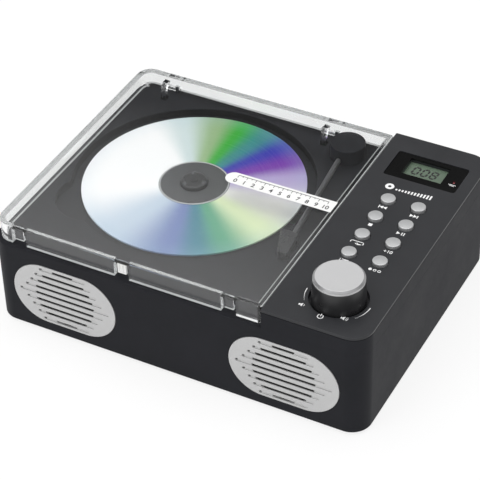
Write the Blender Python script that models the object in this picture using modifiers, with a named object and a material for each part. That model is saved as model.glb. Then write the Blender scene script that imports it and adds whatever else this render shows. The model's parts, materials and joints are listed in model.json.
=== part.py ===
"""Table-top compact disc player with a clear hinged lid and a turntable-style deck.

Metres, +Z up. The origin is at the middle of the footprint, on the table. +X is the
control side and -Y is the front with the two loudspeakers.
"""
import math

import bmesh
import bpy
from mathutils import Matrix

# Fits and cuts
FIT_GAP = 0.0003
CUT_OVERRUN = 0.002
JOIN_LAP = 0.0004
MERGE_DISTANCE = 0.00001

# Case
CASE_WIDTH = 0.2114
CASE_DEPTH = 0.1604
CASE_CORNER_RADIUS = 0.0108
CASE_WALL = 0.0025
GROUND_CLEARANCE = 0.0015
DECK_HEIGHT = 0.0505
DECK_THICKNESS = 0.0025
PANEL_HEIGHT = 0.0621
PANEL_WIDTH = 0.0550
PANEL_PLATE = 0.0014
PANEL_SEAM = 0.0004
PANEL_EDGE_RADIUS = 0.0004

# Disc and its well
WELL_LEFT_MARGIN = 0.0065
WELL_RIGHT_MARGIN = 0.0195
WELL_FRONT_MARGIN = 0.0233
WELL_BACK_MARGIN = 0.0067
WELL_CLEARANCE = 0.0052
DISC_HOLE_RADIUS = 0.0075
DISC_THICKNESS = 0.0012
WELL_DEPTH = 0.0047
WELL_WALL = 0.0022
WELL_FLOOR = 0.0020
DISC_UNDER_GAP = 0.0015
SCOOP_RADIUS = 0.0200
SCOOP_REACH = 0.0092
SCOOP_ANGLE = math.radians(-138)

# Turntable hub
HUB_FLANGE_RADIUS = 0.0155
HUB_FLANGE_THICKNESS = 0.0020
HUB_CAP_HEIGHT = 0.0022
HUB_CAP_CHAMFER = 0.0012
HUB_COLLAR_RADIUS = 0.0040
HUB_COLLAR_HEIGHT = 0.0045
HUB_SHAFT_RADIUS = 0.0010
CHUCK_BALL_RADIUS = 0.0014
CHUCK_BALLS = 3

# Lid
LID_LEDGE = 0.0025
LID_WALL = 0.0028
LID_PLATE = 0.0020
LID_TOP_DROP = 0.0001
LID_SIDE_GAP = 0.0004
LID_EDGE_RADIUS = 0.0008
LID_RIGHT_CORNER_RADIUS = 0.0012
LID_NOTCH_WIDTH = 0.0084
LID_NOTCH_LEFT_INSET = 0.0148
LID_NOTCH_RIGHT_INSET = 0.0184
LID_TAB_WIDTH = 0.0050
LID_TAB_THICKNESS = 0.0016
LID_TAB_SHORTFALL = 0.0024

# Lid hinge
HINGE_LEFT_INSET = 0.0181
HINGE_RIGHT_INSET = 0.0364
HINGE_PIN_RADIUS = 0.0006
HINGE_KNUCKLE_WALL = 0.0009
HINGE_KNUCKLE_LENGTH = 0.0060
HINGE_EAR_THICKNESS = 0.0016
ARM_THICKNESS = 0.0030
ARM_INNER_RADIUS = 0.0082
ARM_BAND = 0.0024
ARM_START_ANGLE = math.radians(120)
ARM_END_ANGLE = math.radians(262)

# Imitation tonearm
DRUM_RADIUS = 0.0096
DRUM_HEIGHT = 0.0087
DRUM_EDGE = 0.0004
DRUM_PANEL_INSET = 0.0206
DRUM_BACK_INSET = 0.0172
ARM_ROD_RADIUS = 0.00135
ARM_ROD_RISE = 0.0035
ARM_ROD_SWING = math.radians(5.5)
ARM_ROD_SIDE_OFFSET = -0.0016
ARM_ROD_LENGTH = 0.0665
HEAD_BACK_WIDTH = 0.0104
HEAD_TIP_WIDTH = 0.0058
HEAD_LENGTH = 0.0173
HEAD_SIDE_OFFSET = -0.0022
HEAD_TIP_SHIFT = 0.0044
HEAD_HEIGHT = 0.0056
HEAD_EDGE = 0.0005

# Grilles and loudspeakers
GRILLE_WIDTH = 0.0605
GRILLE_HEIGHT = 0.0374
GRILLE_THICKNESS = 0.0012
GRILLE_PROUD = 0.0003
GRILLE_RIM = 0.0012
SPEAKER_INSET = 0.0430
SPEAKER_HEIGHT = 0.0247
SPEAKER_ROOM = 0.0026
SPEAKER_LAP = 0.0020
SLOT_COUNT = 9
SLOT_MARGIN = 0.0011
SLOT_HEIGHT = 0.0013
SPEAKER_FLANGE_THICKNESS = 0.0015
SPEAKER_DEPTH = 0.0100
SPEAKER_BACK_RADIUS = 0.0130
SPEAKER_RIM_DEPTH = 0.0020
SPEAKER_BACK_HOLE_RADIUS = 0.0080
SPEAKER_SHEET = 0.0014
CONE_INSET = 0.0008
CONE_EDGE = 0.0008
CONE_DOME_RISE = 0.0024
CONE_DEPTH = 0.0063
CONE_TRAVEL = 0.0005
COIL_RADIUS = 0.0064
COIL_WALL = 0.0006
COIL_REACH = 0.0032
MAGNET_RADIUS = 0.0120
MAGNET_HEIGHT = 0.0087
MAGNET_SLOT_DEPTH = 0.0047

# Bottom cover, feet and screws
COVER_THICKNESS = 0.0020
COVER_RECESS = 0.0006
FOOT_RADIUS = 0.0060
FOOT_SIDE_INSET = 0.0177
FOOT_END_INSET = 0.0222
COLUMN_RADIUS = 0.0035
COLUMN_INSET = 0.0052
COLUMN_END_INSET = 0.0202
COLUMN_RIB = 0.0020
BLOCK_COLUMN_HEIGHT = 0.0400
SCREW_SHANK_RADIUS = 0.0012
SCREW_HEAD_RADIUS = 0.0026
SCREW_HEAD_HEIGHT = 0.0010
SCREW_LENGTH = 0.0110

# Display
WINDOW_WIDTH = 0.0402
WINDOW_DEPTH = 0.0221
WINDOW_SIDE_OFFSET = 0.0007
WINDOW_BACK_INSET = 0.0250
WINDOW_THICKNESS = 0.0008
WINDOW_CORNER_RADIUS = 0.0016
WINDOW_SINK = 0.0003
WINDOW_SHELF = 0.0012
WINDOW_SHELF_MARGIN = 0.0020
DISPLAY_OPENING_WIDTH = 0.0222
DISPLAY_OPENING_DEPTH = 0.0140
DISPLAY_OPENING_SIDE_OFFSET = -0.0007
DISPLAY_OPENING_BACK_OFFSET = 0.0010
DISPLAY_MARGIN = 0.0022
DISPLAY_STEP = 0.0010
DISPLAY_GLASS_HEIGHT = 0.0028
LAMP_SIDE_INSET = 0.0039
LAMP_BACK_OFFSET = -0.0018
LAMP_RADIUS = 0.0009

# Push buttons
BUTTON_RADIUS = 0.00385
BUTTON_PROUD = 0.0020
BUTTON_EDGE = 0.0004
BUTTON_FLANGE = 0.0010
BUTTON_STEM_RADIUS = 0.0018
BUTTON_TRAVEL = 0.0008
BUTTON_COLUMN_OFFSETS = (-0.0073, 0.0095)
BUTTON_ROW_SHARES = (0.238, 0.427, 0.617, 0.806)

# Volume knob and its encoder
KNOB_SIDE_OFFSET = 0.0026
KNOB_FRONT_INSET = 0.0246
KNOB_HEIGHT = 0.0140
KNOB_TOP_RADIUS = 0.0129
KNOB_FLARE = 0.0009
KNOB_WALL = 0.0015
KNOB_WEB = 0.0030
KNOB_CAP_THICKNESS = 0.0022
KNOB_CAP_CHAMFER = 0.0011
KNOB_HUB_RADIUS = 0.0050
KNOB_SINK = 0.0011
KNOB_TRAVEL = 0.0008
KNOB_WELL_GAP = 0.0009
KNOB_WELL_DEPTH = 0.0025
KNOB_WELL_WALL = 0.0016
ENCODER_SHAFT_RADIUS = 0.0027
ENCODER_SIZE = 0.0130
ENCODER_HEIGHT = 0.0062
ENCODER_FLOOR = 0.0018
ENCODER_PLUNGER_HEIGHT = 0.0010

# Control board
BOARD_DROP = 0.0116
BOARD_THICKNESS = 0.0016
BOARD_MARGIN = 0.0022
BOARD_POST_RADIUS = 0.0022
BOARD_POST_X_INSET = 0.0028
BOARD_POST_END_INSET = 0.0432
KEYPAD_SHEET = 0.0010
KEYPAD_MARGIN = 0.0062
DOME_RADIUS = 0.0034
DOME_TOP_RADIUS = 0.0026
DOME_HEIGHT = 0.0015

# Disc mechanism
FRAME_DROP = 0.0050
FRAME_THICKNESS = 0.0025
FRAME_LEFT = 0.0260
FRAME_RIGHT_RAIL = 0.0068
FRAME_FRONT = 0.0410
FRAME_BACK = 0.0300
FRAME_CORNER_RADIUS = 0.0030
FRAME_SHAFT_HOLE_RADIUS = 0.0045
PICKUP_INNER_RADIUS = 0.0240
PICKUP_EDGE_MARGIN = 0.0020
SLED_LENGTH = 0.0180
SLED_HALF_WIDTH = 0.0170
SLED_TOP_GAP = 0.0007
SLED_HEIGHT = 0.0071
SLED_RUNNING_GAP = 0.0012
LENS_RADIUS = 0.0030
LENS_HEIGHT = 0.0018
LENS_SLOT_HALF_WIDTH = 0.0055
WELL_HUB_HOLE_RADIUS = 0.0170
ROD_RADIUS = 0.0015
ROD_SPREAD = 0.0140
ROD_LAP = 0.0040
FEED_RADIUS = 0.0023
FEED_THREAD_DEPTH = 0.0006
FEED_LEAD = 0.0040
FEED_JOURNAL_RADIUS = 0.0010
FEED_OFFSET = 0.0240
FEED_DROP = 0.0041
FEED_ARM_HALF_WIDTH = 0.0040
FEED_ARM_WALL = 0.0014
FEED_BEARING_LENGTH = 0.0030
FEED_MOTOR_RADIUS = 0.0060
FEED_MOTOR_LENGTH = 0.0130
DAMPER_RADIUS = 0.0045
DAMPER_LEFT_OFFSET = 0.0190
DAMPER_FRONT_OFFSET = 0.0150
DAMPER_WELL_MARGIN = 0.0104
DAMPER_PIN_RADIUS = 0.0014
DAMPER_PIN_REACH = 0.0012
SPINDLE_MOTOR_RADIUS = 0.0120
SPINDLE_MOTOR_HEIGHT = 0.0090
SPINDLE_SHAFT_REACH = 0.0070

# Main board and sockets
MAIN_BOARD_LIFT = 0.0042
MAIN_BOARD_WIDTH = 0.0930
MAIN_BOARD_SIDE_INSET = 0.0177
MAIN_BOARD_FRONT_INSET = 0.0402
MAIN_BOARD_BACK_GAP = 0.0030
MAIN_BOARD_POST_RADIUS = 0.0025
MAIN_BOARD_POST_INSET = 0.0050
SOCKET_HEIGHT = 0.0110
SOCKET_LENGTH = 0.0130
POWER_INLET_INSET = 0.0180
POWER_INLET_WIDTH = 0.0100
POWER_NOZZLE_RADIUS = 0.0040
POWER_BORE_RADIUS = 0.0029
POWER_PIN_RADIUS = 0.0009
AUDIO_SOCKET_INSET = 0.0380
AUDIO_SOCKET_WIDTH = 0.0080
AUDIO_NOZZLE_RADIUS = 0.0030
AUDIO_BORE_RADIUS = 0.0018
SOCKET_BORE_DEPTH = 0.0095

# Round shapes: how many sides
FINE_SIDES = 64
ROUND_SIDES = 32
SMALL_SIDES = 16
TINY_SIDES = 12
BALL_SIDES = 8
BALL_RINGS = 6
CORNER_STEPS = 6
FEW_STEPS = 3
THREAD_SIDES = 8
THREAD_STEPS_PER_TURN = 4
SMOOTH_ANGLE = math.radians(30)
BEVEL_ANGLE = math.radians(50)

# Places that follow from the sizes
CASE_RIGHT = CASE_WIDTH / 2
CASE_LEFT = -CASE_RIGHT
CASE_BACK = CASE_DEPTH / 2
CASE_FRONT = -CASE_BACK
CASE_BOTTOM = GROUND_CLEARANCE
DECK_Z = CASE_BOTTOM + DECK_HEIGHT
DECK_UNDERSIDE = DECK_Z - DECK_THICKNESS
PANEL_Z = CASE_BOTTOM + PANEL_HEIGHT
PANEL_UNDERSIDE = PANEL_Z - PANEL_PLATE
BLOCK_TOP = PANEL_UNDERSIDE - PANEL_SEAM
PANEL_LEFT = CASE_RIGHT - PANEL_WIDTH
PANEL_MIDDLE_X = CASE_RIGHT - PANEL_WIDTH / 2
INNER_CORNER_RADIUS = CASE_CORNER_RADIUS - CASE_WALL

WELL_ROOM_X = PANEL_LEFT - CASE_LEFT - WELL_LEFT_MARGIN - WELL_RIGHT_MARGIN
WELL_ROOM_Y = CASE_DEPTH - WELL_FRONT_MARGIN - WELL_BACK_MARGIN
WELL_RADIUS = min(WELL_ROOM_X, WELL_ROOM_Y) / 2
DISC_RADIUS = WELL_RADIUS - WELL_CLEARANCE
DISC_X = CASE_LEFT + WELL_LEFT_MARGIN + WELL_RADIUS
DISC_Y = CASE_BACK - WELL_BACK_MARGIN - WELL_RADIUS
WELL_FLOOR_TOP = DECK_Z - WELL_DEPTH
WELL_UNDERSIDE = WELL_FLOOR_TOP - WELL_FLOOR
SCOOP_OFFSET = WELL_RADIUS + SCOOP_REACH - SCOOP_RADIUS
SCOOP_X = DISC_X + SCOOP_OFFSET * math.cos(SCOOP_ANGLE)
SCOOP_Y = DISC_Y + SCOOP_OFFSET * math.sin(SCOOP_ANGLE)
DISC_BOTTOM = WELL_FLOOR_TOP + DISC_UNDER_GAP
DISC_TOP = DISC_BOTTOM + DISC_THICKNESS

LID_LEFT = CASE_LEFT + LID_LEDGE
LID_RIGHT = PANEL_LEFT - LID_SIDE_GAP
LID_FRONT = CASE_FRONT + LID_LEDGE
LID_BACK = CASE_BACK - LID_LEDGE
LID_BOTTOM = DECK_Z + FIT_GAP
LID_TOP = PANEL_Z - LID_TOP_DROP
LID_UNDERSIDE = LID_TOP - LID_PLATE
LID_CORNER_RADIUS = CASE_CORNER_RADIUS - LID_LEDGE
LID_TAB_BOTTOM = LID_BOTTOM + LID_TAB_SHORTFALL
NOTCH_LEFT_X = LID_LEFT + LID_NOTCH_LEFT_INSET
NOTCH_RIGHT_X = LID_RIGHT - LID_NOTCH_RIGHT_INSET
NOTCH_PLACES = (
    ("left", NOTCH_LEFT_X),
    ("middle", (NOTCH_LEFT_X + NOTCH_RIGHT_X) / 2),
    ("right", NOTCH_RIGHT_X),
)

HINGE_BORE_RADIUS = HINGE_PIN_RADIUS + FIT_GAP
HINGE_KNUCKLE_RADIUS = HINGE_BORE_RADIUS + HINGE_KNUCKLE_WALL
HINGE_Y = LID_BACK - LID_WALL / 2
HINGE_Z = LID_BOTTOM + HINGE_KNUCKLE_RADIUS
HINGE_PLACES = (("left", LID_LEFT + HINGE_LEFT_INSET), ("right", LID_RIGHT - HINGE_RIGHT_INSET))
ARM_OUTER_RADIUS = ARM_INNER_RADIUS + ARM_BAND
EAR_OFFSET = (HINGE_KNUCKLE_LENGTH + HINGE_EAR_THICKNESS) / 2 + FIT_GAP

DRUM_X = PANEL_LEFT - DRUM_PANEL_INSET
DRUM_Y = CASE_BACK - DRUM_BACK_INSET

COVER_BOTTOM = CASE_BOTTOM + COVER_RECESS
COVER_TOP = COVER_BOTTOM + COVER_THICKNESS
COVER_INSET = CASE_WALL + FIT_GAP
FOOT_X = CASE_RIGHT - FOOT_SIDE_INSET
FOOT_Y = CASE_BACK - FOOT_END_INSET

SIDES = (("left", -1), ("right", 1))
SPEAKER_X = CASE_RIGHT - SPEAKER_INSET
SPEAKER_Z = CASE_BOTTOM + SPEAKER_HEIGHT
SPEAKER_MOUNT_Y = CASE_FRONT + CASE_WALL
SPEAKER_HOLE_RADIUS = min(GRILLE_HEIGHT / 2 - GRILLE_RIM, SPEAKER_Z - COVER_TOP - SPEAKER_ROOM - SPEAKER_LAP)
SPEAKER_FLANGE_RADIUS = SPEAKER_HOLE_RADIUS + SPEAKER_LAP
CONE_RADIUS = SPEAKER_HOLE_RADIUS - CONE_INSET
SLOT_PITCH = 2 * (SPEAKER_HOLE_RADIUS - SLOT_MARGIN) / (SLOT_COUNT - 1)
COLUMN_X = CASE_RIGHT - CASE_WALL - COLUMN_INSET
COLUMN_Y = CASE_BACK - COLUMN_END_INSET
COLUMN_BOTTOM = COVER_TOP + FIT_GAP
COLUMN_BORE_RADIUS = SCREW_SHANK_RADIUS + FIT_GAP
CORNERS = (("front_left", -1, -1), ("front_right", 1, -1), ("back_right", 1, 1), ("back_left", -1, 1))

BUTTON_NAMES = (
    ("button_previous", "button_next"),
    ("button_stop", "button_play"),
    ("button_repeat", "button_ten_on"),
    ("button_program", "button_mode"),
)
WINDOW_X = PANEL_MIDDLE_X + WINDOW_SIDE_OFFSET
WINDOW_Y = CASE_BACK - WINDOW_BACK_INSET
DISPLAY_OPENING_X = WINDOW_X + DISPLAY_OPENING_SIDE_OFFSET
DISPLAY_OPENING_Y = WINDOW_Y + DISPLAY_OPENING_BACK_OFFSET
LAMP_X = WINDOW_X + WINDOW_WIDTH / 2 - LAMP_SIDE_INSET
LAMP_Y = WINDOW_Y + LAMP_BACK_OFFSET
KNOB_X = PANEL_MIDDLE_X + KNOB_SIDE_OFFSET
KNOB_Y = CASE_FRONT + KNOB_FRONT_INSET
KNOB_BASE_RADIUS = KNOB_TOP_RADIUS + KNOB_FLARE
KNOB_WELL_RADIUS = KNOB_BASE_RADIUS + KNOB_WELL_GAP
BUTTON_AREA_BACK = WINDOW_Y - WINDOW_DEPTH / 2
BUTTON_AREA_DEPTH = BUTTON_AREA_BACK - KNOB_Y - KNOB_WELL_RADIUS - KNOB_WELL_WALL
BUTTON_HOLE_RADIUS = BUTTON_RADIUS + FIT_GAP
BUTTON_FLANGE_RADIUS = BUTTON_HOLE_RADIUS + BUTTON_FLANGE
BUTTON_FLANGE_TOP = PANEL_UNDERSIDE - FIT_GAP

BOARD_TOP = PANEL_Z - BOARD_DROP
BOARD_BOTTOM = BOARD_TOP - BOARD_THICKNESS
ON_BOARD = BOARD_TOP + FIT_GAP
DOME_TOP = ON_BOARD + KEYPAD_SHEET + DOME_HEIGHT
BUTTON_STEM_BOTTOM = DOME_TOP + BUTTON_TRAVEL + FIT_GAP
SHELF_BOTTOM = PANEL_UNDERSIDE - WINDOW_SHELF

KNOB_TOP = PANEL_Z + KNOB_HEIGHT
KNOB_CAP_BOTTOM = KNOB_TOP - KNOB_CAP_THICKNESS
KNOB_SKIRT_TOP = KNOB_CAP_BOTTOM - FIT_GAP
KNOB_SKIRT_BOTTOM = PANEL_Z - KNOB_SINK
KNOB_WELL_FLOOR = PANEL_Z - KNOB_WELL_DEPTH
KNOB_WELL_BOTTOM = KNOB_WELL_FLOOR - KNOB_WELL_WALL
ENCODER_BORE_RADIUS = ENCODER_SHAFT_RADIUS + FIT_GAP
ENCODER_BORE_BOTTOM = ON_BOARD + ENCODER_FLOOR
PLUNGER_BOTTOM = ENCODER_BORE_BOTTOM + KNOB_TRAVEL + FIT_GAP
PLUNGER_TOP = PLUNGER_BOTTOM + ENCODER_PLUNGER_HEIGHT
SHAFT_BOTTOM = PLUNGER_TOP + FIT_GAP
SHAFT_TOP = (KNOB_SKIRT_TOP + KNOB_SKIRT_BOTTOM) / 2

FRAME_TOP = WELL_UNDERSIDE - FRAME_DROP
FRAME_BOTTOM = FRAME_TOP - FRAME_THICKNESS
PICKUP_X = DISC_X + PICKUP_INNER_RADIUS
PICKUP_TRAVEL = DISC_RADIUS - PICKUP_EDGE_MARGIN - PICKUP_INNER_RADIUS
SLED_TOP = WELL_UNDERSIDE - SLED_TOP_GAP
SLED_BOTTOM = SLED_TOP - SLED_HEIGHT
ROD_Z = FRAME_TOP + FIT_GAP + ROD_RADIUS
OPENING_LEFT = PICKUP_X - SLED_LENGTH / 2 - SLED_RUNNING_GAP
OPENING_RIGHT = PICKUP_X + PICKUP_TRAVEL + SLED_LENGTH / 2 + SLED_RUNNING_GAP
FEED_Y = DISC_Y - FEED_OFFSET
FEED_Z = ROD_Z - FEED_DROP
FEED_ARM_FRONT = FEED_Y - FEED_RADIUS - FIT_GAP - FEED_ARM_WALL
FRAME_RIGHT_X = OPENING_RIGHT + FRAME_RIGHT_RAIL
OPENING_FRONT = FEED_ARM_FRONT - SLED_RUNNING_GAP
OPENING_BACK = DISC_Y + SLED_HALF_WIDTH + SLED_RUNNING_GAP
BACK_RAIL_Y = (OPENING_BACK + DISC_Y + FRAME_BACK) / 2
FRONT_RAIL_Y = (OPENING_FRONT + DISC_Y - FRAME_FRONT) / 2
DAMPER_REACH = math.sqrt((WELL_RADIUS - DAMPER_WELL_MARGIN) ** 2 - (BACK_RAIL_Y - DISC_Y) ** 2)
DAMPER_PLACES = (
    ("left_back", DISC_X - DAMPER_LEFT_OFFSET, BACK_RAIL_Y),
    ("right_back", DISC_X + DAMPER_REACH, BACK_RAIL_Y),
    ("front", DISC_X + DAMPER_FRONT_OFFSET, FRONT_RAIL_Y),
)
MAIN_BOARD_RIGHT = CASE_RIGHT - MAIN_BOARD_SIDE_INSET
MAIN_BOARD_LEFT = MAIN_BOARD_RIGHT - MAIN_BOARD_WIDTH
MAIN_BOARD_FRONT = CASE_FRONT + MAIN_BOARD_FRONT_INSET
POWER_INLET_X = MAIN_BOARD_RIGHT - POWER_INLET_INSET
AUDIO_SOCKET_X = MAIN_BOARD_RIGHT - AUDIO_SOCKET_INSET
MAIN_BOARD_BOTTOM = COVER_TOP + MAIN_BOARD_LIFT
MAIN_BOARD_BACK = CASE_BACK - CASE_WALL - MAIN_BOARD_BACK_GAP
ON_MAIN_BOARD = MAIN_BOARD_BOTTOM + BOARD_THICKNESS + FIT_GAP
SOCKET_BACK = CASE_BACK - CASE_WALL - FIT_GAP
SOCKET_Z = ON_MAIN_BOARD + SOCKET_HEIGHT / 2


# Scene and collections
def clear_scene():
    for item in list(bpy.data.objects):
        bpy.data.objects.remove(item, do_unlink=True)


def new_collection(name):
    collection = bpy.data.collections.new(name)
    bpy.context.scene.collection.children.link(collection)
    return collection


clear_scene()
PARTS = new_collection("cd_player")
CUTTERS = new_collection("cutters")


# Materials
def material(name, colour, roughness, metallic=0.0):
    made = bpy.data.materials.new(name)
    made.use_nodes = True
    shader = made.node_tree.nodes["Principled BSDF"]
    shader.inputs["Base Color"].default_value = (*colour, 1.0)
    shader.inputs["Roughness"].default_value = roughness
    shader.inputs["Metallic"].default_value = metallic
    return made


BLACK_PLASTIC = material("satin_black_plastic", (0.035, 0.036, 0.042), 0.42)
GLOSS_BLACK = material("gloss_black_plastic", (0.010, 0.010, 0.012), 0.12)
GREY_PLASTIC = material("grey_plastic", (0.16, 0.17, 0.18), 0.45)
SILVER = material("silver_finish", (0.62, 0.62, 0.63), 0.30, 0.85)
CLEAR = material("clear_plastic", (0.90, 0.92, 0.92), 0.04)
WHITE_PLASTIC = material("white_plastic", (0.72, 0.72, 0.70), 0.40)
DISC_FOIL = material("disc_foil", (0.80, 0.82, 0.84), 0.12, 1.0)
STEEL = material("steel", (0.55, 0.55, 0.56), 0.25, 1.0)
RUBBER = material("rubber", (0.02, 0.02, 0.02), 0.85)
BOARD_GREEN = material("circuit_board", (0.03, 0.16, 0.07), 0.45)
PAPER = material("cone_paper", (0.03, 0.03, 0.03), 0.80)
DISPLAY_GREY = material("display_glass", (0.17, 0.22, 0.17), 0.20)
LAMP_RED = material("lamp_red", (0.60, 0.02, 0.03), 0.25)


# Making solids
def add_mesh(name, mesh, collection=None):
    made = bpy.data.objects.new(name, mesh)
    (collection or PARTS).objects.link(made)
    return made


def finish(piece, finish_material, smooth=True):
    piece.data.materials.clear()
    piece.data.materials.append(finish_material)
    if smooth:
        piece.data.shade_smooth()
        piece.data.set_sharp_from_angle(angle=SMOOTH_ANGLE)
    return piece


def box(name, low, high):
    """Block between two corners."""
    shape = bmesh.new()
    bmesh.ops.create_cube(shape, size=1)
    size = [b - a for a, b in zip(low, high)]
    bmesh.ops.scale(shape, vec=size, verts=shape.verts)
    mesh = bpy.data.meshes.new(name)
    shape.to_mesh(mesh)
    shape.free()
    made = add_mesh(name, mesh)
    made.location = [(a + b) / 2 for a, b in zip(low, high)]
    return made


TURN_TO = {
    "x": (0, math.pi / 2, 0),
    "y": (-math.pi / 2, 0, 0),
    "z": (0, 0, 0),
}


def cylinder(name, radius, start, length, sides=SMALL_SIDES, along="z", end_radius=None):
    """Round bar or cone whose first end has its centre at start and which runs along one axis."""
    shape = bmesh.new()
    last_radius = radius if end_radius is None else end_radius
    bmesh.ops.create_cone(
        shape, cap_ends=True, segments=sides, radius1=radius, radius2=last_radius, depth=length)
    bmesh.ops.translate(shape, vec=(0, 0, length / 2), verts=shape.verts)
    mesh = bpy.data.meshes.new(name)
    shape.to_mesh(mesh)
    shape.free()
    made = add_mesh(name, mesh)
    made.location = start
    made.rotation_euler = TURN_TO[along]
    return made


def turned(name, profile, place, sides=ROUND_SIDES, along="z", closed=False):
    """Turned shape: profile points are (radius, height), outer side from top to bottom."""
    mesh = bpy.data.meshes.new(name)
    points = [(radius, 0, height) for radius, height in profile]
    edges = [(i, i + 1) for i in range(len(points) - 1)]
    if closed:
        edges.append((len(points) - 1, 0))
    mesh.from_pydata(points, edges, [])
    made = add_mesh(name, mesh)
    made.location = place
    made.rotation_euler = TURN_TO[along]
    spin = made.modifiers.new("turn", "SCREW")
    spin.steps = sides
    spin.render_steps = sides
    spin.use_merge_vertices = True
    spin.merge_threshold = MERGE_DISTANCE
    spin.use_smooth_shade = True
    return made


def to_mesh(piece):
    """Turn a curve object, or one with live modifiers, into a plain mesh object."""
    depsgraph = bpy.context.evaluated_depsgraph_get()
    mesh = bpy.data.meshes.new_from_object(piece.evaluated_get(depsgraph))
    shape = bmesh.new()
    shape.from_mesh(mesh)
    bmesh.ops.remove_doubles(shape, verts=shape.verts, dist=MERGE_DISTANCE)
    shape.to_mesh(mesh)
    shape.free()
    name = piece.name
    place = piece.matrix_world.copy()
    bpy.data.objects.remove(piece, do_unlink=True)
    made = add_mesh(name, mesh)
    made.matrix_world = place
    return made


def flat_solid(name, loops, low, high, plane="xy"):
    """Outline with holes, given thickness along the axis that the plane leaves."""
    curve = bpy.data.curves.new(name, "CURVE")
    curve.dimensions = "2D"
    curve.fill_mode = "BOTH"
    curve.extrude = (high - low) / 2
    for loop in loops:
        spline = curve.splines.new("POLY")
        spline.points.add(len(loop) - 1)
        for point, (across, along) in zip(spline.points, loop):
            point.co = (across, along, 0, 1)
        spline.use_cyclic_u = True
    made = bpy.data.objects.new(name, curve)
    PARTS.objects.link(made)
    middle = (low + high) / 2
    if plane == "xy":
        made.location = (0, 0, middle)
    elif plane == "xz":
        made.rotation_euler = (math.pi / 2, 0, 0)
        made.location = (0, middle, 0)
    else:
        made.rotation_euler = (math.pi / 2, 0, math.pi / 2)
        made.location = (middle, 0, 0)
    bpy.context.view_layer.update()
    return to_mesh(made)


def bevel(piece, width, segments=2, top_only=False):
    """Round the sharp edges, or only those of the highest face."""
    cut = piece.modifiers.new("edge", "BEVEL")
    cut.width = width
    cut.segments = segments
    if top_only:
        mesh = piece.data
        highest = max(vertex.co.z for vertex in mesh.vertices)
        at_top = {v.index for v in mesh.vertices if highest - v.co.z < MERGE_DISTANCE}
        weights = mesh.attributes.new("bevel_weight_edge", "FLOAT", "EDGE")
        for edge in mesh.edges:
            weights.data[edge.index].value = float(all(v in at_top for v in edge.vertices))
        cut.limit_method = "WEIGHT"
    else:
        cut.limit_method = "ANGLE"
        cut.angle_limit = BEVEL_ANGLE
    return piece


def use_as_tool(tool):
    PARTS.objects.unlink(tool)
    CUTTERS.objects.link(tool)
    tool.hide_render = True
    tool.display_type = "WIRE"


def combine(piece, tool, operation):
    step = piece.modifiers.new(tool.name, "BOOLEAN")
    step.operation = operation
    step.solver = "EXACT"
    step.object = tool
    use_as_tool(tool)


def cut(piece, *tools):
    for tool in tools:
        combine(piece, tool, "DIFFERENCE")
    return piece


def join(piece, *tools):
    for tool in tools:
        combine(piece, tool, "UNION")
    return piece


def axis_empty(name, place, *pieces):
    """Empty on a joint's axis that carries the pieces which move with it."""
    empty = bpy.data.objects.new(name, None)
    PARTS.objects.link(empty)
    empty.location = place
    bpy.context.view_layer.update()
    for piece in pieces:
        piece.parent = empty
        piece.matrix_parent_inverse = Matrix.Translation(place).inverted()
    return empty


# Outlines
def arc(centre, radius, first, last, steps):
    turns = [first + (last - first) * i / steps for i in range(steps + 1)]
    return [(centre[0] + radius * math.cos(t), centre[1] + radius * math.sin(t)) for t in turns]


def circle(centre, radius, sides=SMALL_SIDES):
    return arc(centre, radius, 0, 2 * math.pi, sides)[:-1]


def rounded_rectangle(left, right, front, back, radii, steps=CORNER_STEPS):
    """Corner radii in the order front left, front right, back right, back left."""
    corners = (
        (left, front, 1, 1, math.pi),
        (right, front, -1, 1, 1.5 * math.pi),
        (right, back, -1, -1, 0),
        (left, back, 1, -1, 0.5 * math.pi),
    )
    points = []
    for (x, y, in_x, in_y, turn), radius in zip(corners, radii):
        centre = (x + in_x * radius, y + in_y * radius)
        points += arc(centre, radius, turn, turn + math.pi / 2, steps)
    return points


def centred_rectangle(x, y, width, depth, radius, steps=CORNER_STEPS):
    return rounded_rectangle(
        x - width / 2, x + width / 2, y - depth / 2, y + depth / 2, (radius,) * 4, steps)


def case_outline(inset=0):
    radius = CASE_CORNER_RADIUS - inset
    return rounded_rectangle(
        CASE_LEFT + inset, CASE_RIGHT - inset, CASE_FRONT + inset, CASE_BACK - inset, (radius,) * 4)


def block_outline(inset=0):
    """Plan of the control block, square at the deck side."""
    outer = CASE_CORNER_RADIUS - inset
    return rounded_rectangle(
        PANEL_LEFT + inset, CASE_RIGHT - inset, CASE_FRONT + inset, CASE_BACK - inset,
        (PANEL_EDGE_RADIUS, outer, outer, PANEL_EDGE_RADIUS))


def lid_outline(inset=0):
    left = LID_CORNER_RADIUS - inset
    right = max(LID_RIGHT_CORNER_RADIUS - inset, PANEL_EDGE_RADIUS)
    return rounded_rectangle(
        LID_LEFT + inset, LID_RIGHT - inset, LID_FRONT + inset, LID_BACK - inset,
        (left, right, right, left))


def stadium(x, z, width, height, steps):
    radius = height / 2
    straight = width / 2 - radius
    right = arc((x + straight, z), radius, -math.pi / 2, math.pi / 2, steps)
    left = arc((x - straight, z), radius, math.pi / 2, 1.5 * math.pi, steps)
    return right + left


# Places of repeated pieces
def button_grid():
    for share, names in zip(BUTTON_ROW_SHARES, BUTTON_NAMES):
        for offset, name in zip(BUTTON_COLUMN_OFFSETS, names):
            yield name, PANEL_MIDDLE_X + offset, BUTTON_AREA_BACK - share * BUTTON_AREA_DEPTH


def column_places():
    for name, side_x, side_y in CORNERS:
        yield name, side_x, side_x * COLUMN_X, side_y * COLUMN_Y


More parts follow.
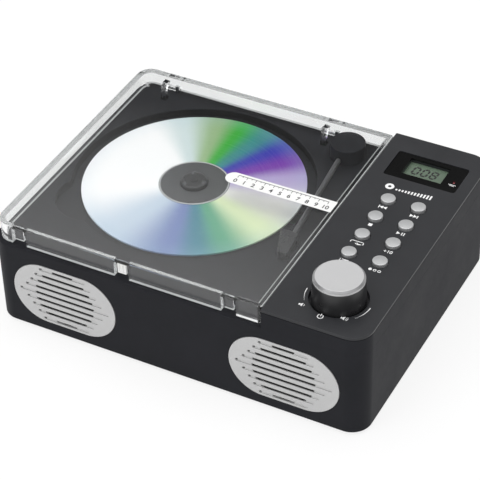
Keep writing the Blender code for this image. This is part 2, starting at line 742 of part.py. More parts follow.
def main_board_corners():
    for x in (MAIN_BOARD_LEFT + MAIN_BOARD_POST_INSET, MAIN_BOARD_RIGHT - MAIN_BOARD_POST_INSET):
        for y in (MAIN_BOARD_FRONT + MAIN_BOARD_POST_INSET, MAIN_BOARD_BACK - MAIN_BOARD_POST_INSET):
            yield x, y


# Case
def case_shell():
    case = flat_solid("case", [case_outline()], CASE_BOTTOM, BLOCK_TOP)
    cut(case, box("over_deck", (CASE_LEFT - CUT_OVERRUN, CASE_FRONT - CUT_OVERRUN, DECK_Z),
                  (PANEL_LEFT, CASE_BACK + CUT_OVERRUN, BLOCK_TOP + CUT_OVERRUN)))
    cut(case, flat_solid(
        "case_hollow", [case_outline(CASE_WALL)], CASE_BOTTOM - CUT_OVERRUN, DECK_UNDERSIDE))
    cut(case, flat_solid(
        "block_hollow", [block_outline(CASE_WALL)], DECK_UNDERSIDE - CUT_OVERRUN,
        BLOCK_TOP + CUT_OVERRUN))
    return case


def add_well(case):
    disc_place = (DISC_X, DISC_Y, WELL_UNDERSIDE)
    scoop_place = (SCOOP_X, SCOOP_Y, WELL_UNDERSIDE)
    height = DECK_UNDERSIDE + JOIN_LAP - WELL_UNDERSIDE
    join(
        case,
        cylinder("well_wall", WELL_RADIUS + WELL_WALL, disc_place, height, FINE_SIDES),
        cylinder("scoop_wall", SCOOP_RADIUS + WELL_WALL, scoop_place, height, ROUND_SIDES))
    depth = WELL_DEPTH + CUT_OVERRUN
    cut(
        case,
        cylinder("well", WELL_RADIUS, (DISC_X, DISC_Y, WELL_FLOOR_TOP), depth, FINE_SIDES),
        cylinder("scoop", SCOOP_RADIUS, (SCOOP_X, SCOOP_Y, WELL_FLOOR_TOP), depth, ROUND_SIDES))
    slot_low = (DISC_X, DISC_Y - LENS_SLOT_HALF_WIDTH, WELL_UNDERSIDE - CUT_OVERRUN)
    slot_right = PICKUP_X + PICKUP_TRAVEL + LENS_RADIUS + SLED_RUNNING_GAP
    slot_high = (slot_right, DISC_Y + LENS_SLOT_HALF_WIDTH, WELL_FLOOR_TOP + CUT_OVERRUN)
    hole_place = (DISC_X, DISC_Y, WELL_UNDERSIDE - CUT_OVERRUN)
    cut(
        case,
        cylinder("hub_hole", WELL_HUB_HOLE_RADIUS, hole_place,
                 WELL_FLOOR + CUT_OVERRUN * 2, ROUND_SIDES),
        box("pickup_slot", slot_low, slot_high))


def add_columns(case):
    """Screw columns, each tied to its side wall by a rib and bored from below."""
    for name, side, x, y in column_places():
        top = BLOCK_COLUMN_HEIGHT if side > 0 else DECK_UNDERSIDE + JOIN_LAP
        height = top - COLUMN_BOTTOM
        wall_middle = side * (CASE_RIGHT - CASE_WALL / 2)
        rib_low = (min(x, wall_middle), y - COLUMN_RIB / 2, COLUMN_BOTTOM + COLUMN_RIB)
        rib_high = (max(x, wall_middle), y + COLUMN_RIB / 2, top - COLUMN_RIB)
        join(
            case,
            cylinder("column_" + name, COLUMN_RADIUS, (x, y, COLUMN_BOTTOM), height),
            box("rib_" + name, rib_low, rib_high))
        cut(case, cylinder(
            "column_bore_" + name, COLUMN_BORE_RADIUS, (x, y, COLUMN_BOTTOM - CUT_OVERRUN),
            SCREW_LENGTH + CUT_OVERRUN, TINY_SIDES))


def add_damper_pins(case):
    bottom = FRAME_BOTTOM - DAMPER_PIN_REACH
    for name, x, y in DAMPER_PLACES:
        join(case, cylinder(
            "pin_" + name, DAMPER_PIN_RADIUS, (x, y, bottom),
            WELL_UNDERSIDE + JOIN_LAP - bottom, TINY_SIDES))


def add_speaker_openings(case):
    pocket_floor = CASE_FRONT - GRILLE_PROUD + GRILLE_THICKNESS + FIT_GAP
    for side_name, side in SIDES:
        x = side * SPEAKER_X
        outline = stadium(
            x, SPEAKER_Z, GRILLE_WIDTH + 2 * FIT_GAP, GRILLE_HEIGHT + 2 * FIT_GAP, CORNER_STEPS * 2)
        cut(
            case,
            flat_solid("grille_pocket_" + side_name, [outline],
                       CASE_FRONT - CUT_OVERRUN, pocket_floor, "xz"),
            cylinder("speaker_hole_" + side_name, SPEAKER_HOLE_RADIUS,
                     (x, CASE_FRONT, SPEAKER_Z), CASE_WALL + CUT_OVERRUN, ROUND_SIDES, "y"))


def add_hinge_seats(case):
    """Two ears for each hinge pin, and a slot in the deck for the lid's arm."""
    for name, x in HINGE_PLACES:
        for ear, side in SIDES:
            low = x + side * EAR_OFFSET - HINGE_EAR_THICKNESS / 2
            outline = arc((HINGE_Y, HINGE_Z), HINGE_KNUCKLE_RADIUS, 0, math.pi, CORNER_STEPS)
            foot = DECK_Z - JOIN_LAP
            outline += [(HINGE_Y - HINGE_KNUCKLE_RADIUS, foot), (HINGE_Y + HINGE_KNUCKLE_RADIUS, foot)]
            join(case, flat_solid(
                "ear_" + name + "_" + ear, [outline], low, low + HINGE_EAR_THICKNESS, "yz"))
        cut(case, cylinder(
            "ear_bore_" + name, HINGE_BORE_RADIUS, (x - EAR_OFFSET - HINGE_EAR_THICKNESS, HINGE_Y, HINGE_Z),
            2 * (EAR_OFFSET + HINGE_EAR_THICKNESS), TINY_SIDES, "x"))
        reach = math.sqrt(ARM_INNER_RADIUS ** 2 - (HINGE_Z - DECK_UNDERSIDE) ** 2)
        slot_low = (x - ARM_THICKNESS / 2 - FIT_GAP, HINGE_Y - ARM_OUTER_RADIUS - FIT_GAP,
                    DECK_UNDERSIDE - CUT_OVERRUN)
        slot_high = (x + ARM_THICKNESS / 2 + FIT_GAP, HINGE_Y - reach + FIT_GAP, DECK_Z + CUT_OVERRUN)
        cut(case, box("arm_slot_" + name, slot_low, slot_high))


def add_socket_holes(case):
    for name, x, radius in (
            ("power", POWER_INLET_X, POWER_NOZZLE_RADIUS), ("audio", AUDIO_SOCKET_X, AUDIO_NOZZLE_RADIUS)):
        cut(case, cylinder(
            "hole_" + name, radius + FIT_GAP, (x, SOCKET_BACK - CUT_OVERRUN, SOCKET_Z),
            CASE_WALL + 2 * CUT_OVERRUN, SMALL_SIDES, "y"))


def make_case():
    case = case_shell()
    add_well(case)
    add_columns(case)
    add_damper_pins(case)
    add_speaker_openings(case)
    add_hinge_seats(case)
    add_socket_holes(case)
    finish(case, BLACK_PLASTIC)


def make_bottom_cover():
    loops = [case_outline(COVER_INSET)]
    loops += [circle((x, y), COLUMN_BORE_RADIUS, TINY_SIDES) for _, _, x, y in column_places()]
    cover = flat_solid("bottom_cover", loops, COVER_BOTTOM, COVER_TOP)
    post_bottom = COVER_TOP - JOIN_LAP
    for index, (x, y) in enumerate(main_board_corners()):
        join(cover, cylinder(
            f"board_post_{index}", MAIN_BOARD_POST_RADIUS, (x, y, post_bottom),
            MAIN_BOARD_BOTTOM - FIT_GAP - post_bottom, TINY_SIDES))
    finish(cover, BLACK_PLASTIC)


def make_feet_and_screws():
    foot_top = COVER_BOTTOM - FIT_GAP
    head_top = COVER_BOTTOM - FIT_GAP
    screw_profile = [
        (0, SCREW_LENGTH), (SCREW_SHANK_RADIUS, SCREW_LENGTH), (SCREW_SHANK_RADIUS, 0),
        (SCREW_HEAD_RADIUS, 0), (SCREW_HEAD_RADIUS, -SCREW_HEAD_HEIGHT), (0, -SCREW_HEAD_HEIGHT)]
    for name, side_x, side_y in CORNERS:
        place = (side_x * FOOT_X, side_y * FOOT_Y, 0)
        finish(cylinder("foot_" + name, FOOT_RADIUS, place, foot_top), RUBBER)
    for name, _, x, y in column_places():
        finish(turned("cover_screw_" + name, screw_profile, (x, y, head_top), TINY_SIDES), STEEL)


# Control panel
def make_control_panel():
    loops = [block_outline()]
    loops += [circle((x, y), BUTTON_HOLE_RADIUS) for _, x, y in button_grid()]
    loops.append(circle((KNOB_X, KNOB_Y), KNOB_WELL_RADIUS, ROUND_SIDES))
    loops.append(centred_rectangle(
        WINDOW_X, WINDOW_Y, WINDOW_WIDTH, WINDOW_DEPTH, WINDOW_CORNER_RADIUS, FEW_STEPS))
    panel = flat_solid("control_panel", loops, PANEL_UNDERSIDE, PANEL_Z)
    shelf = flat_solid("window_shelf", [
        centred_rectangle(WINDOW_X, WINDOW_Y, WINDOW_WIDTH + 2 * WINDOW_SHELF_MARGIN,
                          WINDOW_DEPTH + 2 * WINDOW_SHELF_MARGIN, WINDOW_CORNER_RADIUS, 1),
        centred_rectangle(DISPLAY_OPENING_X, DISPLAY_OPENING_Y, DISPLAY_OPENING_WIDTH,
                          DISPLAY_OPENING_DEPTH, WINDOW_CORNER_RADIUS / 2, 1),
        circle((LAMP_X, LAMP_Y), LAMP_RADIUS + FIT_GAP, TINY_SIDES),
    ], SHELF_BOTTOM, PANEL_UNDERSIDE + JOIN_LAP)
    well_place = (KNOB_X, KNOB_Y, KNOB_WELL_BOTTOM)
    well = cylinder("knob_well", KNOB_WELL_RADIUS + KNOB_WELL_WALL, well_place,
                    PANEL_UNDERSIDE + JOIN_LAP - KNOB_WELL_BOTTOM, ROUND_SIDES)
    join(panel, shelf, well)
    cut(
        panel,
        cylinder("knob_pocket", KNOB_WELL_RADIUS, (KNOB_X, KNOB_Y, KNOB_WELL_FLOOR),
                 KNOB_WELL_DEPTH + CUT_OVERRUN, ROUND_SIDES),
        cylinder("shaft_hole", ENCODER_BORE_RADIUS, (KNOB_X, KNOB_Y, KNOB_WELL_BOTTOM - CUT_OVERRUN),
                 KNOB_WELL_WALL + 2 * CUT_OVERRUN),
        flat_solid("window_seat", [centred_rectangle(
            WINDOW_X, WINDOW_Y, WINDOW_WIDTH, WINDOW_DEPTH, WINDOW_CORNER_RADIUS,
            FEW_STEPS)], PANEL_UNDERSIDE, PANEL_Z + CUT_OVERRUN))
    post_left = PANEL_LEFT + CASE_WALL + BOARD_MARGIN + BOARD_POST_X_INSET
    post_right = CASE_RIGHT - CASE_WALL - BOARD_MARGIN - BOARD_POST_X_INSET
    post_height = PANEL_UNDERSIDE + JOIN_LAP - ON_BOARD
    for side_x, x in (("left", post_left), ("right", post_right)):
        for side_y, sign in (("front", -1), ("back", 1)):
            y = sign * (CASE_BACK - BOARD_POST_END_INSET)
            join(panel, cylinder(f"panel_post_{side_y}_{side_x}", BOARD_POST_RADIUS,
                                 (x, y, ON_BOARD), post_height, TINY_SIDES))
    finish(panel, BLACK_PLASTIC)


def make_display():
    window_top = PANEL_Z - WINDOW_SINK
    window = flat_solid("display_window", [centred_rectangle(
        WINDOW_X, WINDOW_Y, WINDOW_WIDTH - 2 * FIT_GAP, WINDOW_DEPTH - 2 * FIT_GAP,
        WINDOW_CORNER_RADIUS - FIT_GAP, FEW_STEPS)], window_top - WINDOW_THICKNESS, window_top)
    finish(window, GLOSS_BLACK)
    glass_top = SHELF_BOTTOM - FIT_GAP
    glass_bottom = glass_top - DISPLAY_GLASS_HEIGHT
    half_width = DISPLAY_OPENING_WIDTH / 2 + DISPLAY_MARGIN
    half_depth = DISPLAY_OPENING_DEPTH / 2 + DISPLAY_MARGIN
    glass = box("display_module",
                (DISPLAY_OPENING_X - half_width, DISPLAY_OPENING_Y - half_depth, glass_bottom),
                (DISPLAY_OPENING_X + half_width, DISPLAY_OPENING_Y + half_depth, glass_top))
    light_box = box("light_box",
                    (DISPLAY_OPENING_X - half_width + DISPLAY_STEP,
                     DISPLAY_OPENING_Y - half_depth + DISPLAY_STEP, ON_BOARD),
                    (DISPLAY_OPENING_X + half_width - DISPLAY_STEP,
                     DISPLAY_OPENING_Y + half_depth - DISPLAY_STEP,
                     glass_bottom + JOIN_LAP))
    join(glass, light_box)
    finish(glass, DISPLAY_GREY, smooth=False)
    lamp_top = window_top - WINDOW_THICKNESS - FIT_GAP
    finish(cylinder("power_lamp", LAMP_RADIUS, (LAMP_X, LAMP_Y, ON_BOARD),
                    lamp_top - ON_BOARD, TINY_SIDES), LAMP_RED)


def make_buttons():
    top = PANEL_Z + BUTTON_PROUD
    heights = [z - top for z in (BUTTON_FLANGE_TOP, BUTTON_FLANGE_TOP - BUTTON_FLANGE, BUTTON_STEM_BOTTOM)]
    flange_top, flange_bottom, stem_bottom = heights
    profile = [
        (0, 0), (BUTTON_RADIUS - BUTTON_EDGE, 0), (BUTTON_RADIUS, -BUTTON_EDGE),
        (BUTTON_RADIUS, flange_top), (BUTTON_FLANGE_RADIUS, flange_top),
        (BUTTON_FLANGE_RADIUS, flange_bottom), (BUTTON_STEM_RADIUS, flange_bottom),
        (BUTTON_STEM_RADIUS, stem_bottom), (0, stem_bottom)]
    for name, x, y in button_grid():
        finish(turned(name, profile, (x, y, top), SMALL_SIDES), SILVER)


def make_keypad_and_board():
    xs = [x for _, x, _ in button_grid()]
    ys = [y for _, _, y in button_grid()]
    pad = box("keypad", (min(xs) - KEYPAD_MARGIN, min(ys) - KEYPAD_MARGIN, ON_BOARD),
              (max(xs) + KEYPAD_MARGIN, max(ys) + KEYPAD_MARGIN, ON_BOARD + KEYPAD_SHEET))
    dome_bottom = ON_BOARD + KEYPAD_SHEET - JOIN_LAP
    for name, x, y in button_grid():
        join(pad, cylinder("dome_" + name, DOME_RADIUS, (x, y, dome_bottom),
                           DOME_TOP - dome_bottom, TINY_SIDES, end_radius=DOME_TOP_RADIUS))
    finish(pad, RUBBER)
    board = flat_solid("control_board", [rounded_rectangle(
        PANEL_LEFT + CASE_WALL + BOARD_MARGIN, CASE_RIGHT - CASE_WALL - BOARD_MARGIN,
        CASE_FRONT + CASE_WALL + BOARD_MARGIN, CASE_BACK - CASE_WALL - BOARD_MARGIN,
        (BOARD_MARGIN, INNER_CORNER_RADIUS, INNER_CORNER_RADIUS, BOARD_MARGIN), FEW_STEPS)],
        BOARD_BOTTOM, BOARD_TOP)
    finish(board, BOARD_GREEN, smooth=False)


def make_knob():
    half = ENCODER_SIZE / 2
    body = box("encoder_body", (KNOB_X - half, KNOB_Y - half, ON_BOARD),
               (KNOB_X + half, KNOB_Y + half, ON_BOARD + ENCODER_HEIGHT))
    cut(body, cylinder("encoder_bore", ENCODER_BORE_RADIUS, (KNOB_X, KNOB_Y, ENCODER_BORE_BOTTOM),
                       ENCODER_HEIGHT + CUT_OVERRUN))
    finish(body, GREY_PLASTIC)
    plunger = finish(cylinder("encoder_plunger", ENCODER_SHAFT_RADIUS, (KNOB_X, KNOB_Y, PLUNGER_BOTTOM),
                              ENCODER_PLUNGER_HEIGHT), GREY_PLASTIC)
    shaft = finish(cylinder("encoder_shaft", ENCODER_SHAFT_RADIUS, (KNOB_X, KNOB_Y, SHAFT_BOTTOM),
                            SHAFT_TOP - SHAFT_BOTTOM), STEEL)
    web_bottom = KNOB_SKIRT_TOP - KNOB_WEB
    hub_bottom = PANEL_Z
    bore_top = SHAFT_TOP + FIT_GAP
    skirt = turned("knob_skirt", [
        (0, KNOB_SKIRT_TOP), (KNOB_TOP_RADIUS, KNOB_SKIRT_TOP), (KNOB_BASE_RADIUS, KNOB_SKIRT_BOTTOM),
        (KNOB_BASE_RADIUS - KNOB_WALL, KNOB_SKIRT_BOTTOM), (KNOB_TOP_RADIUS - KNOB_WALL, web_bottom),
        (KNOB_HUB_RADIUS, web_bottom), (KNOB_HUB_RADIUS, hub_bottom), (ENCODER_BORE_RADIUS, hub_bottom),
        (ENCODER_BORE_RADIUS, bore_top), (0, bore_top)], (KNOB_X, KNOB_Y, 0))
    finish(skirt, GLOSS_BLACK)
    cap = turned("knob_cap", [
        (0, KNOB_TOP), (KNOB_TOP_RADIUS - KNOB_CAP_CHAMFER, KNOB_TOP),
        (KNOB_TOP_RADIUS, KNOB_TOP - KNOB_CAP_CHAMFER), (KNOB_TOP_RADIUS, KNOB_CAP_BOTTOM),
        (0, KNOB_CAP_BOTTOM)], (KNOB_X, KNOB_Y, 0))
    finish(cap, SILVER)
    axis_empty("knob_axis", (KNOB_X, KNOB_Y, PANEL_Z), plunger, shaft, skirt, cap)


# Lid
def arm_outline():
    """Band round the hinge axis, in the plane of Y and Z."""
    centre = (HINGE_Y, HINGE_Z)
    steps = CORNER_STEPS * 2
    outer = arc(centre, ARM_OUTER_RADIUS, ARM_START_ANGLE, ARM_END_ANGLE, steps)
    inner = arc(centre, ARM_INNER_RADIUS, ARM_END_ANGLE, ARM_START_ANGLE, steps)
    return outer + inner


def make_lid():
    lid = flat_solid("lid", [lid_outline()], LID_BOTTOM, LID_TOP)
    bevel(lid, LID_EDGE_RADIUS, top_only=True)
    cut(lid, flat_solid("lid_hollow", [lid_outline(LID_WALL)], LID_BOTTOM - CUT_OVERRUN, LID_UNDERSIDE))
    back_inside = LID_BACK - LID_WALL - CUT_OVERRUN / 2
    cut(lid, box("back_wall_foot", (LID_LEFT - CUT_OVERRUN, back_inside, LID_BOTTOM - CUT_OVERRUN),
                 (LID_RIGHT + CUT_OVERRUN, LID_BACK + CUT_OVERRUN, HINGE_Z)))
    for name, x in HINGE_PLACES:
        for ear, side in SIDES:
            middle = x + side * EAR_OFFSET
            half = HINGE_EAR_THICKNESS / 2 + FIT_GAP
            cut(lid, box("ear_clearance_" + name + "_" + ear,
                         (middle - half, back_inside, HINGE_Z - CUT_OVERRUN),
                         (middle + half, LID_BACK + CUT_OVERRUN,
                          HINGE_Z + HINGE_KNUCKLE_RADIUS + FIT_GAP)))
        start = (x - HINGE_KNUCKLE_LENGTH / 2, HINGE_Y, HINGE_Z)
        join(lid, cylinder("knuckle_" + name, HINGE_KNUCKLE_RADIUS, start, HINGE_KNUCKLE_LENGTH,
                           TINY_SIDES, "x"))
        bore_start = (x - HINGE_KNUCKLE_LENGTH, HINGE_Y, HINGE_Z)
        cut(lid, cylinder("knuckle_bore_" + name, HINGE_BORE_RADIUS, bore_start,
                          2 * HINGE_KNUCKLE_LENGTH, TINY_SIDES, "x"))
        join(lid, flat_solid("arm_" + name, [arm_outline()], x - ARM_THICKNESS / 2,
                             x + ARM_THICKNESS / 2, "yz"))
    tab_front = LID_FRONT + (LID_WALL - LID_TAB_THICKNESS) / 2
    for name, x in NOTCH_PLACES:
        cut(lid, box("notch_" + name,
                     (x - LID_NOTCH_WIDTH / 2, LID_FRONT - CUT_OVERRUN, LID_BOTTOM - CUT_OVERRUN),
                     (x + LID_NOTCH_WIDTH / 2, LID_FRONT + LID_WALL + CUT_OVERRUN, LID_UNDERSIDE)))
        tab_low = (x - LID_TAB_WIDTH / 2, tab_front, LID_TAB_BOTTOM)
        tab_side = x + LID_TAB_WIDTH / 2
        tab_back = tab_front + LID_TAB_THICKNESS
        if name == "middle":
            catch = box("lid_catch", tab_low, (tab_side, tab_back, LID_UNDERSIDE - FIT_GAP))
            finish(catch, WHITE_PLASTIC, smooth=False)
        else:
            join(lid, box("tab_" + name, tab_low, (tab_side, tab_back, LID_UNDERSIDE + JOIN_LAP)))
    finish(lid, CLEAR)
    axis_empty("lid_hinge_axis", (0, HINGE_Y, HINGE_Z), lid, catch)


def make_hinge_pins():
    half = EAR_OFFSET + HINGE_EAR_THICKNESS / 2
    for name, x in HINGE_PLACES:
        finish(cylinder("hinge_pin_" + name, HINGE_PIN_RADIUS, (x - half, HINGE_Y, HINGE_Z),
                        2 * half, TINY_SIDES, "x"), STEEL)


# Disc and turntable
def make_disc_and_hub():
    disc = turned("compact_disc", [
        (DISC_RADIUS, DISC_TOP), (DISC_RADIUS, DISC_BOTTOM),
        (DISC_HOLE_RADIUS, DISC_BOTTOM), (DISC_HOLE_RADIUS, DISC_TOP)],
        (DISC_X, DISC_Y, 0), FINE_SIDES, closed=True)
    finish(disc, DISC_FOIL)
    flange_top = DISC_BOTTOM - FIT_GAP
    flange_bottom = flange_top - HUB_FLANGE_THICKNESS
    collar_bottom = flange_bottom - HUB_COLLAR_HEIGHT
    shaft_bottom = FRAME_BOTTOM - SPINDLE_SHAFT_REACH
    cap_radius = DISC_HOLE_RADIUS - FIT_GAP
    cap_top = DISC_TOP + HUB_CAP_HEIGHT
    hub = turned("turntable_hub", [
        (0, cap_top), (cap_radius - HUB_CAP_CHAMFER, cap_top), (cap_radius, cap_top - HUB_CAP_CHAMFER),
        (cap_radius, flange_top), (HUB_FLANGE_RADIUS, flange_top), (HUB_FLANGE_RADIUS, flange_bottom),
        (HUB_COLLAR_RADIUS, flange_bottom), (HUB_COLLAR_RADIUS, collar_bottom),
        (HUB_SHAFT_RADIUS, collar_bottom), (HUB_SHAFT_RADIUS, shaft_bottom), (0, shaft_bottom)],
        (DISC_X, DISC_Y, 0))
    for index in range(CHUCK_BALLS):
        turn = 2 * math.pi * index / CHUCK_BALLS
        reach = cap_radius - CHUCK_BALL_RADIUS
        shape = bmesh.new()
        bmesh.ops.create_uvsphere(
            shape, u_segments=BALL_SIDES, v_segments=BALL_RINGS, radius=CHUCK_BALL_RADIUS)
        mesh = bpy.data.meshes.new(f"chuck_ball_{index}")
        shape.to_mesh(mesh)
        shape.free()
        ball = add_mesh(f"chuck_ball_{index}", mesh)
        ball.location = (DISC_X + reach * math.cos(turn), DISC_Y + reach * math.sin(turn),
                         cap_top - CHUCK_BALL_RADIUS / 2)
        join(hub, ball)
    finish(hub, GREY_PLASTIC)
    axis_empty("turntable_axis", (DISC_X, DISC_Y, DISC_TOP), disc, hub)


# Mechanism
def make_mechanism_frame():
    outline = rounded_rectangle(
        DISC_X - FRAME_LEFT, FRAME_RIGHT_X, DISC_Y - FRAME_FRONT, DISC_Y + FRAME_BACK,
        (FRAME_CORNER_RADIUS,) * 4, FEW_STEPS)
    opening = rounded_rectangle(
        OPENING_LEFT, OPENING_RIGHT, OPENING_FRONT, OPENING_BACK, (SLED_RUNNING_GAP,) * 4, FEW_STEPS)
    loops = [outline, opening, circle((DISC_X, DISC_Y), FRAME_SHAFT_HOLE_RADIUS)]
    loops += [circle((x, y), DAMPER_PIN_RADIUS + FIT_GAP, TINY_SIDES) for _, x, y in DAMPER_PLACES]
    frame = flat_solid("mechanism_frame", loops, FRAME_BOTTOM, FRAME_TOP)
    bearing_half = FEED_RADIUS + FEED_ARM_WALL
    bearing_left = OPENING_LEFT - FEED_BEARING_LENGTH
    join(frame, box("feed_bearing",
                    (bearing_left, FEED_Y - bearing_half, FEED_Z - bearing_half),
                    (OPENING_LEFT - FIT_GAP, FEED_Y + bearing_half, FRAME_TOP - JOIN_LAP)))
    cut(
        frame,
        cylinder("feed_journal_bore", FEED_JOURNAL_RADIUS + FIT_GAP,
                 (bearing_left - CUT_OVERRUN, FEED_Y, FEED_Z),
                 FEED_BEARING_LENGTH + 2 * CUT_OVERRUN, TINY_SIDES, "x"),
        cylinder("feed_groove", FEED_RADIUS + FIT_GAP, (OPENING_RIGHT - CUT_OVERRUN, FEED_Y, FEED_Z),
                 FRAME_RIGHT_X - OPENING_RIGHT + 2 * CUT_OVERRUN, TINY_SIDES, "x"))
    finish(frame, GREY_PLASTIC)


def make_dampers_and_motor():
    low = FRAME_TOP + FIT_GAP
    high = WELL_UNDERSIDE - FIT_GAP
    bore = DAMPER_PIN_RADIUS + FIT_GAP
    profile = [(DAMPER_RADIUS, high), (DAMPER_RADIUS, low), (bore, low), (bore, high)]
    for name, x, y in DAMPER_PLACES:
        finish(turned("damper_" + name, profile, (x, y, 0), TINY_SIDES, closed=True), RUBBER)
    motor_top = FRAME_BOTTOM - FIT_GAP
    motor_bottom = motor_top - SPINDLE_MOTOR_HEIGHT
    shaft_bore = HUB_SHAFT_RADIUS + FIT_GAP
    bore_bottom = motor_top - SPINDLE_SHAFT_REACH
    motor = turned("spindle_motor", [
        (0, bore_bottom), (shaft_bore, bore_bottom), (shaft_bore, motor_top),
        (SPINDLE_MOTOR_RADIUS, motor_top), (SPINDLE_MOTOR_RADIUS, motor_bottom), (0, motor_bottom)],
        (DISC_X, DISC_Y, 0))
    finish(motor, STEEL)


def make_pickup():
    left = PICKUP_X - SLED_LENGTH / 2
    right = PICKUP_X + SLED_LENGTH / 2
    sled = box("pickup_sled", (left, DISC_Y - SLED_HALF_WIDTH, SLED_BOTTOM),
               (right, DISC_Y + SLED_HALF_WIDTH, SLED_TOP))
    feed_reach = FEED_RADIUS + FIT_GAP + FEED_ARM_WALL
    join(sled, box("feed_arm",
                   (PICKUP_X - FEED_ARM_HALF_WIDTH, FEED_ARM_FRONT, FEED_Z - feed_reach),
                   (PICKUP_X + FEED_ARM_HALF_WIDTH, DISC_Y - SLED_HALF_WIDTH + CUT_OVERRUN,
                    SLED_TOP - FEED_ARM_WALL)))
    start_x = left - CUT_OVERRUN
    length = SLED_LENGTH + 2 * CUT_OVERRUN
    for name, side in (("front", -1), ("back", 1)):
        y = DISC_Y + side * ROD_SPREAD
        cut(sled, cylinder("sled_bore_" + name, ROD_RADIUS + FIT_GAP, (start_x, y, ROD_Z), length,
                           TINY_SIDES, "x"))
        rod_left = OPENING_LEFT - ROD_LAP
        finish(cylinder("guide_rod_" + name, ROD_RADIUS, (rod_left, y, ROD_Z),
                        OPENING_RIGHT + ROD_LAP - rod_left, TINY_SIDES, "x"), STEEL)
    cut(sled, cylinder("sled_bore_feed", FEED_RADIUS + FIT_GAP, (start_x, FEED_Y, FEED_Z), length,
                       SMALL_SIDES, "x"))
    finish(sled, GREY_PLASTIC)
    lens = turned("pickup_lens", [
        (0, LENS_HEIGHT), (LENS_RADIUS / 2, LENS_HEIGHT), (LENS_RADIUS, LENS_HEIGHT / 2),
        (LENS_RADIUS, FIT_GAP), (0, FIT_GAP)], (PICKUP_X, DISC_Y, SLED_TOP), SMALL_SIDES)
    finish(lens, CLEAR)
    axis_empty("pickup_slide", (PICKUP_X, DISC_Y, SLED_TOP), sled, lens)


def thread_rings(length, steps_per_turn, sides):
    """Rings of points along +Z whose radius follows a helical groove."""
    steps = round(length / FEED_LEAD * steps_per_turn)
    rings = []
    for step in range(steps + 1):
        height = length * step / steps
        ring = []
        for side in range(sides):
            angle = 2 * math.pi * side / sides
            phase = height / FEED_LEAD - side / sides
            radius = FEED_RADIUS - FEED_THREAD_DEPTH * (1 + math.cos(2 * math.pi * phase)) / 2
            ring.append((radius * math.cos(angle), radius * math.sin(angle), height))
        rings.append(ring)
    return rings


def make_feed_screw():
    """Lofted by hand, because a groove that winds round a bar is none of the primitives."""
    journal_left = OPENING_LEFT - FEED_BEARING_LENGTH
    thread_left = OPENING_LEFT + FIT_GAP
    thread_length = FRAME_RIGHT_X - thread_left
    sides = THREAD_SIDES
    shape = bmesh.new()
    points = thread_rings(thread_length, THREAD_STEPS_PER_TURN, sides)
    rings = [[shape.verts.new(point) for point in ring] for ring in points]
    for lower, upper in zip(rings, rings[1:]):
        for side in range(sides):
            after = (side + 1) % sides
            shape.faces.new((lower[side], lower[after], upper[after], upper[side]))
    shape.faces.new(list(reversed(rings[0])))
    shape.faces.new(rings[-1])
    mesh = bpy.data.meshes.new("feed_screw")
    shape.to_mesh(mesh)
    shape.free()
    screw = add_mesh("feed_screw", mesh)
    screw.location = (thread_left, FEED_Y, FEED_Z)
    screw.rotation_euler = TURN_TO["x"]
    motor_left = FRAME_RIGHT_X + FIT_GAP
    motor_bore_depth = FEED_MOTOR_LENGTH / 2
    journal = cylinder(
        "feed_journal", FEED_JOURNAL_RADIUS, (journal_left, FEED_Y, FEED_Z),
        motor_left + motor_bore_depth - journal_left, TINY_SIDES, "x")
    join(screw, journal)
    finish(screw, STEEL)
    motor = cylinder("feed_motor", FEED_MOTOR_RADIUS, (motor_left, FEED_Y, FEED_Z), FEED_MOTOR_LENGTH,
                     SMALL_SIDES, "x")
    cut(motor, cylinder("feed_motor_bore", FEED_JOURNAL_RADIUS + FIT_GAP,
                        (motor_left - CUT_OVERRUN, FEED_Y, FEED_Z),
                        motor_bore_depth + CUT_OVERRUN + FIT_GAP, TINY_SIDES, "x"))
    finish(motor, STEEL)
    axis_empty("feed_axis", (thread_left, FEED_Y, FEED_Z), screw)


# Imitation tonearm
def make_tonearm():
    drum_bottom = DECK_Z + FIT_GAP
    drum_top = drum_bottom + DRUM_HEIGHT
    finish(turned("tonearm_drum", [
        (0, drum_top), (DRUM_RADIUS - DRUM_EDGE, drum_top), (DRUM_RADIUS, drum_top - DRUM_EDGE),
        (DRUM_RADIUS, drum_bottom), (0, drum_bottom)], (DRUM_X, DRUM_Y, 0)), BLACK_PLASTIC)
    rod_z = DECK_Z + ARM_ROD_RISE
    toward = (math.sin(ARM_ROD_SWING), -math.cos(ARM_ROD_SWING))
    first = DRUM_RADIUS + FIT_GAP + abs(ARM_ROD_SIDE_OFFSET) * toward[0]
    last = first + ARM_ROD_LENGTH
    line_x = DRUM_X + ARM_ROD_SIDE_OFFSET
    start = (line_x + toward[0] * first, DRUM_Y + toward[1] * first, rod_z)
    rod = cylinder("tonearm_rod", ARM_ROD_RADIUS, start, ARM_ROD_LENGTH, TINY_SIDES)
    rod.rotation_euler = (math.pi / 2, 0, ARM_ROD_SWING)
    finish(rod, GREY_PLASTIC)
    head_x = line_x + toward[0] * last + HEAD_SIDE_OFFSET
    head_y = DRUM_Y + toward[1] * last - FIT_GAP - HEAD_EDGE
    tip_x = head_x + HEAD_TIP_SHIFT
    tip_y = head_y - HEAD_LENGTH
    head = flat_solid("tonearm_head", [[
        (head_x - HEAD_BACK_WIDTH / 2, head_y), (tip_x - HEAD_TIP_WIDTH / 2, tip_y),
        (tip_x + HEAD_TIP_WIDTH / 2, tip_y), (head_x + HEAD_BACK_WIDTH / 2, head_y)]],
        DECK_Z + FIT_GAP, DECK_Z + HEAD_HEIGHT)
    bevel(head, HEAD_EDGE)
    finish(head, BLACK_PLASTIC)


